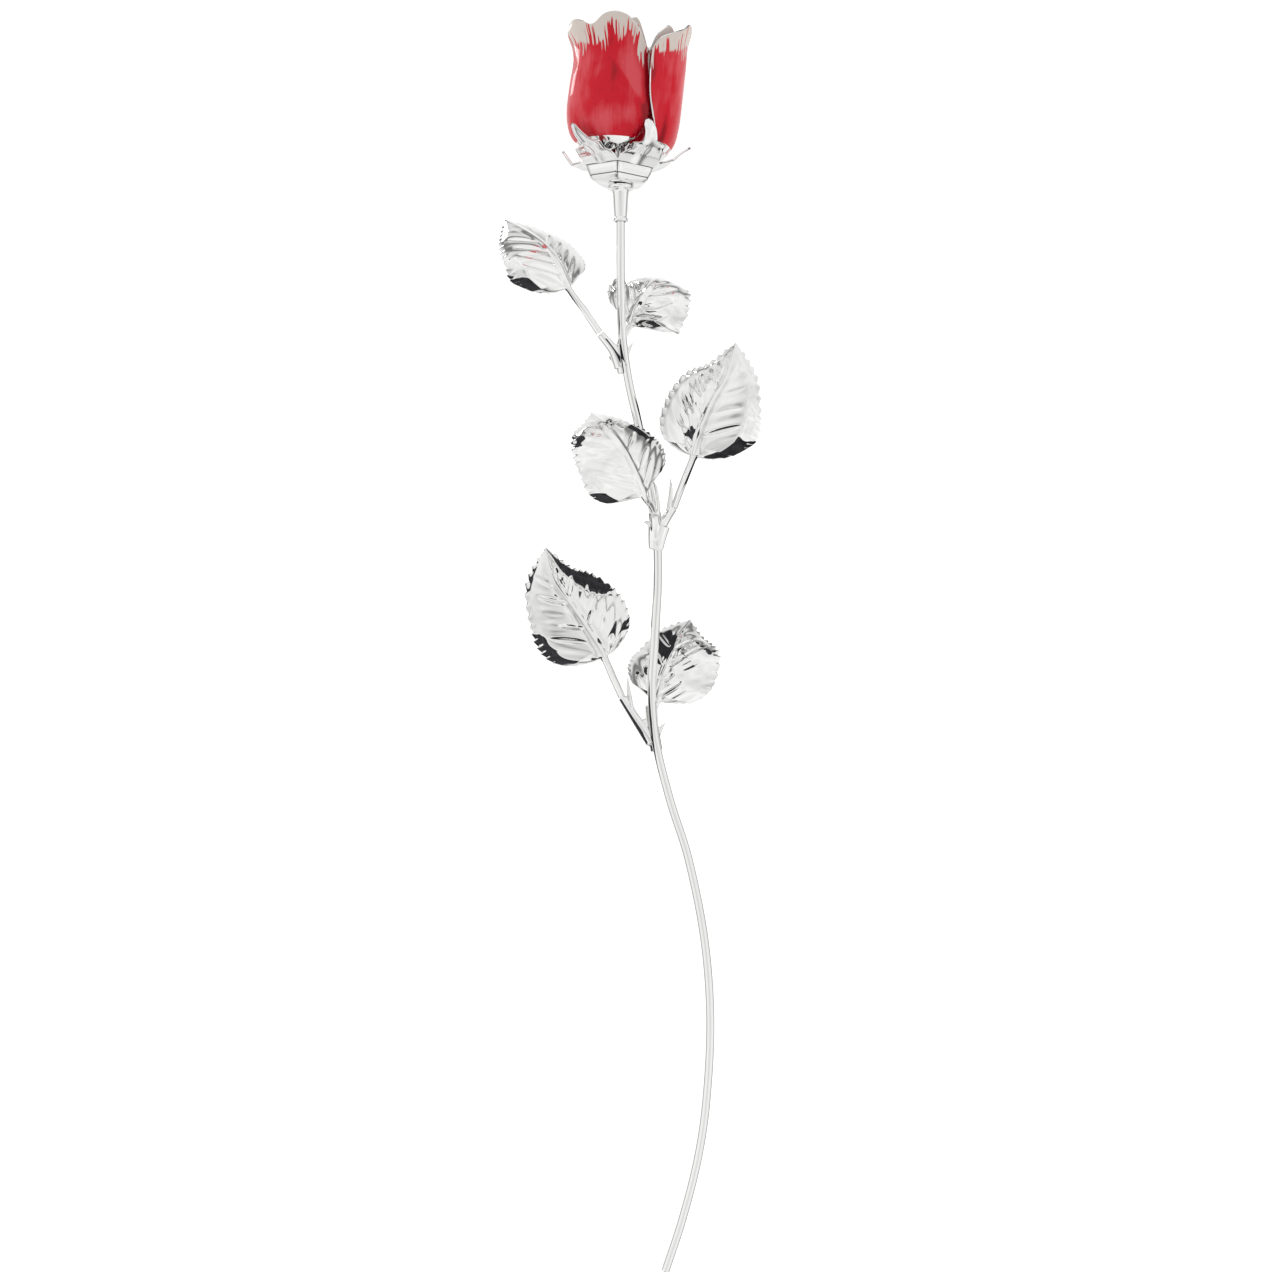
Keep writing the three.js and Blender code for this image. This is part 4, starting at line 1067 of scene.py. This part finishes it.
def add_enamelled(name, node, outside, inside, petal_uvs, sheen_shade_uvs, bare_rows):
    """A sheet piece with red enamel outside, pearl inside, and bare plate on its edges and its lowest rows"""
    points, faces, slots = sheet_faces(outside, inside, RIM_PROUD)
    columns = len(outside[0])
    bare = bare_rows * (columns - 1) * 2
    slots[:bare] = [2] * bare
    rest = [(0, 0)] * (len(points) - 2 * len(petal_uvs))
    # The press map carries the painted sheen and shade
    maps = {"petal": petal_uvs * 2 + rest, "press": sheen_shade_uvs * 2 + rest}
    materials = [shared_material(red_enamel), shared_material(pearl_enamel), shared_material(silver_plate)]
    piece = add_piece(name, points, faces, materials, slots, maps, PRESSED_ANGLE)
    seat_piece(piece, "red_enamel", node)


def make_petal(name, petal, sizes, rows=84, columns=96):
    """A petal by its row of the table"""
    place = head_place()
    outside, inside, petal_uvs, sheen_shade_uvs = [], [], [], []
    for i in range(rows + 1):
        outer, inner = [], []
        for j in range(columns + 1):
            across = 2 * j / columns - 1
            crest = smooth_value(petal["crest"], across)
            if i < BARE_ROWS:
                height = CLAW_HEIGHT + (ENAMEL_FOOT - CLAW_HEIGHT) * i / BARE_ROWS
            else:
                height = ENAMEL_FOOT + (crest - ENAMEL_FOOT) * (i - BARE_ROWS) / (rows - BARE_ROWS)
            level = (height - CLAW_HEIGHT) / (crest - CLAW_HEIGHT)
            edge = petal["tuck"][0 if across < 0 else 1] * across ** 4
            azimuth = petal["centre"] + petal["half_span"] * smooth_value(petal["spread"], level) * across
            rise = smooth_value(petal["profile"], height + 0.5) - smooth_value(petal["profile"], height - 0.5)
            lean = math.atan(rise)
            outer_petal = name.startswith("outer")
            flare = LIP_FLARE * smooth_step(LIP_HEIGHT, 0, crest - height) if outer_petal else 0
            press = crease_press(name, azimuth, height)
            wave = sizes.petal_wave / MM * petal_wave(azimuth, height)
            relief = wave + flare - sizes.crease_depth / MM * press
            plain = smooth_value(petal["profile"], height) + edge
            radius = plain + relief * smooth_step(*RELIEF_GROWS, height)
            outer.append(place @ head_point(azimuth, radius, height))
            inner.append(place @ head_point(
                azimuth, radius - PETAL_SHEET * math.cos(lean), height + PETAL_SHEET * math.sin(lean)))
            below = crest - height + PEARL_NARROWS * max(FULL_CREST - crest, 0)
            petal_uvs.append((math.radians(azimuth) * PETAL_RADIUS * MM, below * MM))
            # Painted sheen beside the crease, and the spots of painted sheen and shade, for the press map
            sheen_shade_uvs.append((CREASE_SHEEN * press + sheen_shade_amount(petal["sheen_shade_spots"], azimuth, height), 0))
        outside.append(outer)
        inside.append(inner)
    node = "petal_" + name
    add_enamelled(node + "_enamelled", node, outside, inside, petal_uvs, sheen_shade_uvs, BARE_ROWS)


def make_bud_core(rows=48, columns=200):
    """The petal that is rolled up in the middle of the bloom"""
    place = head_place()
    outside, inside, petal_uvs = [], [], []
    low, high = CORE_SCALE[0][0], CORE_SCALE[-1][0]
    for i in range(rows + 1):
        outer, inner = [], []
        for j in range(columns + 1):
            turn = j / columns
            crest = high - CORE_RIM_WAVE * math.cos(turn * CORE_RIM_TURNS)
            height = low + (crest - low) * i / rows
            radius = (CORE_OUTER + (CORE_INNER - CORE_OUTER) * turn) * smooth_value(CORE_SCALE, height)
            azimuth = 360 * CORE_TURNS * turn
            outer.append(place @ head_point(azimuth, radius, height))
            inner.append(place @ head_point(azimuth, radius - PETAL_SHEET, height))
            petal_uvs.append((math.radians(azimuth) * CORE_OUTER * MM, (crest - height) * MM))
        outside.append(outer)
        inside.append(inner)
    unpressed = [(0, 0)] * len(petal_uvs)
    add_enamelled("bud_core_rolled", "bud_core", outside, inside, petal_uvs, unpressed, CORE_BARE_ROWS)


def margin_stations(length, widest, count, samples=400):
    """Shares of the blade's length that cut its margin into equal steps"""
    reach = [0]
    for i in range(1, samples + 1):
        rise = smooth_value(BLADE_OUTLINE, i / samples) - smooth_value(BLADE_OUTLINE, (i - 1) / samples)
        reach.append(reach[-1] + math.hypot(length / samples, widest * rise))
    stations = []
    i = 1
    for k in range(count + 1):
        wanted = reach[-1] * k / count
        while i < samples and reach[i] < wanted:
            i += 1
        stations.append((i - 1 + (wanted - reach[i - 1]) / (reach[i] - reach[i - 1])) / samples)
    return stations


def leaf_relief(dimples, share, across, length, half_width, sizes):
    """Height of the relief over the plain blade, in millimetres, on the side whose dimples are given"""
    out = across * half_width
    vein = share * length - out * VEIN_SLANT
    ends = min(share / VEINS_FROM, 1, max((VEINS_TO - share) / VEINS_FADE, 0))
    swell = -math.cos(2 * math.pi * (vein - VEIN_FIRST) / VEIN_PITCH)
    swell *= math.sin(math.pi * min(across * SWELL_ACROSS, 1))
    pressed = 0
    for at, inner, outer, depth in dimples:
        reach = (2 * out - inner - outer) / (outer - inner)
        if abs(reach) >= 1:
            continue
        lens = math.sqrt(1 - reach * reach)
        off = math.hypot((vein - at) / (DIMPLE_HALF_WIDTH * lens), DIMPLE_ROUNDING)
        pressed += depth * lens * max(1 - off, 0)
    groove = math.exp(-((out - GROOVE_OFF) / GROOVE_HALF_WIDTH) ** 2) * GROOVE_DEPTH
    rib = math.exp(-(out / (MIDRIB_HALF_WIDTH - MIDRIB_NARROWS * share)) ** 2)
    rib *= sizes.midrib_height / MM * (1 - share * MIDRIB_SINKS)
    return ends * (sizes.vein_swell / MM * swell - sizes.vein_depth / MM * pressed - groove) + rib


def tooth_at(phase):
    """Height of one saw tooth that leans forward"""
    return phase / TOOTH_PEAK if phase < TOOTH_PEAK else (1 - phase) / (1 - TOOTH_PEAK)


def leaf_frame(route, rolls, share):
    """Place on a leaf's middle line, and the ways along it, to its right and out of its face"""
    along = route.tangent(share)
    level = (Vector((0, 0, 1)) - along * along.z).normalized()
    right = along.cross(level)
    roll = math.radians(smooth_value(rolls, share))
    side = right * math.cos(roll) - level * math.sin(roll)
    face = level * math.cos(roll) + right * math.sin(roll)
    return route.point(share), along, side, face


def margin_roll(margin, share, across):
    """How far the rolled margin has dropped, as a share of the half-width, and its slope"""
    start, slopes = margin
    slope = smooth_value(slopes, share)
    turn = min(max((across - start) / ROLL_SPAN, 0), 1)
    return slope * (ROLL_SPAN * turn * turn / 2 + max(across - start - ROLL_SPAN, 0)), slope * turn


def leaf_row(name, place, share, length, half_width, bend, rolled, tooth, columns, sizes):
    """One row of points across a leaf or its stalk, on the face and on the back"""
    origin, along, side, face_way = place
    face, back = [], []
    for column in columns:
        across = abs(column)
        sign = math.copysign(1, column)
        half = 0 if column < 0 else 1
        turn = bend * across
        margin = tooth * smooth_step(TOOTHED_MARGIN, 1, across)
        roll, roll_slope = margin_roll(MARGINS[name][half], share, across)
        out = half_width * math.sin(turn) / bend + margin * TOOTH_OUT
        drop = half_width * ((1 - math.cos(turn)) / bend + rolled * roll)
        normal = (face_way + side * (math.tan(turn) + rolled * roll_slope) * sign).normalized()
        height = 0
        if share > 0:
            height = leaf_relief(DIMPLES[name][half], share, across, length, half_width, sizes)
        point = origin + side * out * sign - face_way * drop
        point += along * margin * TOOTH_FORWARD + normal * height
        face.append(point)
        back.append(point - normal * SHEET)
    return face, back


def make_leaf(name, widest, knots, sizes, stalk_rows=16, steps_per_tooth=8, half_columns=42):
    """A leaf with its stalk, row by row from the stalk's root to the blade's tip"""
    route = Route([k[:3] for k in knots])
    last = len(knots) - 1
    rolls = [(i / last, k[3]) for i, k in enumerate(knots)]
    blade_start = STALK_KNOTS / last
    samples = 60
    blade = [route.point(blade_start + (1 - blade_start) * i / samples) for i in range(samples + 1)]
    length = sum((b - a).length for a, b in zip(blade, blade[1:]))
    columns = [j / half_columns for j in range(-half_columns, half_columns + 1)]
    face, back = [], []

    def add_row(*row):
        for grid, points in zip((face, back), leaf_row(name, *row, columns, sizes)):
            grid.append(points)

    for i in range(stalk_rows):
        place = leaf_frame(route, rolls, blade_start * i / stalk_rows)
        add_row(place, 0, length, STALK_HALF_WIDTH, STALK_BEND, 0, 0)
    for i, share in enumerate(margin_stations(length, widest, LEAF_TEETH * steps_per_tooth)):
        place = leaf_frame(route, rolls, blade_start + (1 - blade_start) * share)
        half_width = widest * smooth_value(BLADE_OUTLINE, share)
        spread = min(share / BEND_CHANGE, 1)
        bend = STALK_BEND + (BLADE_BEND - STALK_BEND) * spread
        toothed = smooth_step(TEETH_FROM - TEETH_GROW, TEETH_FROM, share)
        toothed *= 1 - smooth_step(TEETH_TO, TEETH_TO + TEETH_FADE, share)
        tooth = tooth_at(i % steps_per_tooth / steps_per_tooth) * toothed
        add_row(place, share, length, half_width, bend, spread, tooth)
    points, faces, _ = sheet_faces(face, back, LEAF_RIM)
    add_silver(name + "_pressed", name, points, faces, PRESSED_ANGLE)


def make_collar(name, start, end, aside, arms, bracts, webs):
    """A collar cast in one piece, with the stem's seat cut into it"""
    stem = Route(STEM_ROUTE)
    shift = Vector(aside)
    points, faces = [], []

    def along_stem(past_end):
        shares = [start - past_end + (end - start + 2 * past_end) * t for t in (0, 0.5, 1)]
        return [stem.point(share) for share in shares]

    def add_rod(knots, root, tip, steps=24, sides=24, blunt=ROD_BLUNT, flatness=1):
        route = Route(knots)
        centres = [route.point(i / steps) for i in range(steps + 1)]
        radii = [root + (tip - root) * i / steps for i in range(steps + 1)]
        for at, way in ((0, 1), (-1, -1)):
            step = (centres[at + way] - centres[at]).normalized()
            beside = 1 if at == 0 else len(centres) - 1
            centres.insert(beside, centres[at] + step * min(blunt, radii[at]) * BLUNT_SHARE)
            radii.insert(beside, radii[at])
            radii[at] *= BLUNT_SHARE
        part_points, part_faces = tube_faces(centres, radii, sides)
        for i, point in enumerate(part_points):
            middle = centres[i // sides].z
            point.z = middle + (point.z - middle) * flatness
        append_part(points, faces, part_points, part_faces)

    add_rod([point + shift for point in along_stem(0)], CRADLE_RADIUS, CRADLE_RADIUS)
    for knots in arms:
        add_rod(knots, CRADLE_RADIUS, ARM_TIP)
    for knots in bracts:
        add_rod(knots, BRACT_ROOT, BRACT_TIP, blunt=BRACT_BLUNT)
    for *knots, root, tip in webs:
        add_rod(knots, root, tip, flatness=WEB_FLATNESS)
    piece = add_piece(name + "_cast", points, faces, [shared_material(silver_plate)])
    # The cradle, arms and bracts run into one another in soft fillets, before the stem's seat is cut
    flow = piece.modifiers.new("flow", "REMESH")
    flow.mode = "VOXEL"
    flow.voxel_size = FILLET_VOXEL * MM
    flow.use_smooth_shade = True
    settle = piece.modifiers.new("settle", "SMOOTH")
    settle.factor = 0.5
    settle.iterations = FILLET_PASSES
    room_route = Route(along_stem(ROOM_PAST_END))
    rings = 40
    centres = [room_route.point(i / rings) for i in range(rings + 1)]
    room_tube = tube_faces(centres, [STEM_RADIUS + RUNNING_GAP] * len(centres), 48)
    room = add_piece(name + "_room", *room_tube, [])
    cut = piece.modifiers.new("seat", "BOOLEAN")
    cut.operation = "DIFFERENCE"
    cut.object = room
    cut.solver = "EXACT"
    graph = bpy.context.evaluated_depsgraph_get()
    done = bpy.data.meshes.new_from_object(piece.evaluated_get(graph))
    piece.modifiers.clear()
    piece.data = done
    bpy.data.objects.remove(room)
    done.materials.clear()
    done.materials.append(shared_material(silver_plate))
    done.polygons.foreach_set("material_index", [0] * len(done.polygons))
    smooth_faces(done, CAST_ANGLE)
    seat_piece(piece, "silver_plate", name)


def add_flat(name, corners, make):
    """A flat sheet with four corners, in metres, and one material"""
    mesh = bpy.data.meshes.new(name)
    mesh.from_pydata(corners, [], [(0, 1, 2, 3)])
    mesh.materials.append(shared_material(make))
    return add_object(name, mesh)


def make_table():
    """The white table under the rose"""
    half = bpy.context.scene.rose_sizes.table_size / 2
    corners = [(-half, -half, 0), (half, -half, 0), (half, half, 0), (-half, half, 0)]
    table = add_flat("table", corners, matte_paper)
    # The plate mirrors the tent's lower half instead, whose greys draw the outline of each piece
    table.visible_glossy = False


def make_screen(name, make, target, distance, azimuths, elevations):
    """A flat screen beside the rose that only the glossy pieces see"""
    corners = []
    for i, j in ((0, 0), (1, 0), (1, 1), (0, 1)):
        azimuth, elevation = math.radians(azimuths[i]), math.radians(elevations[j])
        way = Vector((math.cos(elevation) * math.cos(azimuth), math.cos(elevation) * math.sin(azimuth),
                      math.sin(elevation)))
        corners.append((Vector(target) + way * distance - BOX_MIDDLE) * MM)
    screen = add_flat(name, corners, make)
    screen.visible_camera = False
    screen.visible_diffuse = False
    screen.visible_shadow = False


def make_sky():
    """A light tent: bright panels round the camera, and greyer cloth low down"""
    world = bpy.data.worlds.new("light_tent")
    bpy.context.scene.world = world
    world.use_nodes = True
    tree = world.node_tree
    tree.nodes.clear()
    way = add_node(tree, "ShaderNodeTexCoord").outputs["Generated"]
    split = add_node(tree, "ShaderNodeSeparateXYZ", inputs={"Vector": way})
    level = add_node(tree, "ShaderNodeMapRange", inputs={
        "Value": split.outputs["Z"], "From Min": -1, "From Max": 1})
    panels = add_node(tree, "ShaderNodeValToRGB", inputs={"Fac": level.outputs["Result"]}, stops=[
        ((z + 1) / 2, (grey, grey, grey, 1)) for z, grey in TENT_GREYS])
    # The cloth is not lit quite evenly
    folds = add_node(tree, "ShaderNodeTexNoise", inputs={"Vector": way, "Scale": 2.6, "Detail": 2})
    uneven = add_node(tree, "ShaderNodeMapRange", inputs={
        "Value": folds.outputs["Fac"], "From Min": 0.3, "From Max": 0.7, "To Min": 0.86, "To Max": 1.12})
    background = add_node(tree, "ShaderNodeBackground", inputs={
        "Color": panels.outputs["Color"], "Strength": uneven.outputs["Result"]})
    add_node(tree, "ShaderNodeOutputWorld", inputs={"Surface": background.outputs[0]})


def make_camera():
    """The camera over the rose"""
    lens = bpy.data.cameras.new("camera")
    lens.lens = CAMERA_LENS
    lens.sensor_width = CAMERA_SENSOR
    camera = add_object("camera", lens)
    camera.location = Vector(CAMERA_PLACE) * MM
    bpy.context.scene.camera = camera


class ROSE_OT_stem(bpy.types.Operator):
    """Draw the stem's rod along its route"""

    bl_idname = "rose.stem"
    bl_label = "Stem"

    def execute(self, context):
        make_stem()
        return {"FINISHED"}


class ROSE_OT_turned_pieces(bpy.types.Operator):
    """Turn the ferrule and the boss that carries the petals"""

    bl_idname = "rose.turned_pieces"
    bl_label = "Ferrule and receptacle"

    def execute(self, context):
        make_ferrule()
        make_receptacle()
        return {"FINISHED"}


class ROSE_OT_calyx(bpy.types.Operator):
    """Fold the calyx cup and its five sepals"""

    bl_idname = "rose.calyx"
    bl_label = "Calyx"

    def execute(self, context):
        make_calyx()
        return {"FINISHED"}


class ROSE_OT_petals(bpy.types.Operator):
    """Press and enamel the outer and the inner petals"""

    bl_idname = "rose.petals"
    bl_label = "Petals"

    def execute(self, context):
        for name, petal in PETALS.items():
            make_petal(name, petal, context.scene.rose_sizes)
        return {"FINISHED"}


class ROSE_OT_bud_core(bpy.types.Operator):
    """Roll up the bud in the middle of the bloom"""

    bl_idname = "rose.bud_core"
    bl_label = "Bud core"

    def execute(self, context):
        make_bud_core()
        return {"FINISHED"}


class ROSE_OT_leaves(bpy.types.Operator):
    """Press the six leaves with their veins, teeth and channelled stalks"""

    bl_idname = "rose.leaves"
    bl_label = "Leaves"

    def execute(self, context):
        for name, (widest, knots) in LEAVES.items():
            make_leaf(name, widest, knots, context.scene.rose_sizes)
        return {"FINISHED"}


class ROSE_OT_collars(bpy.types.Operator):
    """Cast the three collars that carry the leaves"""

    bl_idname = "rose.collars"
    bl_label = "Collars"

    def execute(self, context):
        for name, collar in COLLARS.items():
            make_collar(name, *collar)
        return {"FINISHED"}


class ROSE_OT_stage(bpy.types.Operator):
    """Lay the white table, hang the light tent and set the camera over the rose"""

    bl_idname = "rose.stage"
    bl_label = "Stage"

    def execute(self, context):
        make_table()
        make_screen("card_bloom", lit_card, *CARD)
        for name, flag in FLAGS.items():
            make_screen(name, black_velvet, *flag)
        make_sky()
        make_camera()
        context.scene.view_settings.view_transform = "Standard"
        return {"FINISHED"}


class ROSE_PT_panel(bpy.types.Panel):
    """Sidebar panel with the rose's sizes, colours and pieces"""

    bl_label = "Metal Rose"
    bl_idname = "ROSE_PT_panel"
    bl_space_type = "VIEW_3D"
    bl_region_type = "UI"
    bl_category = "Rose"

    def draw(self, context):
        for group in (context.scene.rose_sizes, context.scene.rose_colours):
            box = self.layout.box()
            for name in group.__annotations__:
                box.prop(group, name)
        for operator in OPERATORS:
            self.layout.operator(operator.bl_idname)


OPERATORS = (
    ROSE_OT_stage, ROSE_OT_stem, ROSE_OT_turned_pieces, ROSE_OT_calyx, ROSE_OT_petals, ROSE_OT_bud_core,
    ROSE_OT_leaves, ROSE_OT_collars,
)
CLASSES = (RoseSizes, RoseColours, *OPERATORS, ROSE_PT_panel)


def register():
    for kind in CLASSES:
        bpy.utils.register_class(kind)
    bpy.types.Scene.rose_sizes = bpy.props.PointerProperty(type=RoseSizes)
    bpy.types.Scene.rose_colours = bpy.props.PointerProperty(type=RoseColours)


def unregister():
    del bpy.types.Scene.rose_colours
    del bpy.types.Scene.rose_sizes
    for kind in reversed(CLASSES):
        bpy.utils.unregister_class(kind)


def main():
    """Build the rose and its stage"""
    register()
    bpy.ops.rose.stage()
    bpy.ops.rose.stem()
    bpy.ops.rose.turned_pieces()
    bpy.ops.rose.calyx()
    bpy.ops.rose.petals()
    bpy.ops.rose.bud_core()
    bpy.ops.rose.leaves()
    bpy.ops.rose.collars()


if __name__ == "__main__":
    main()
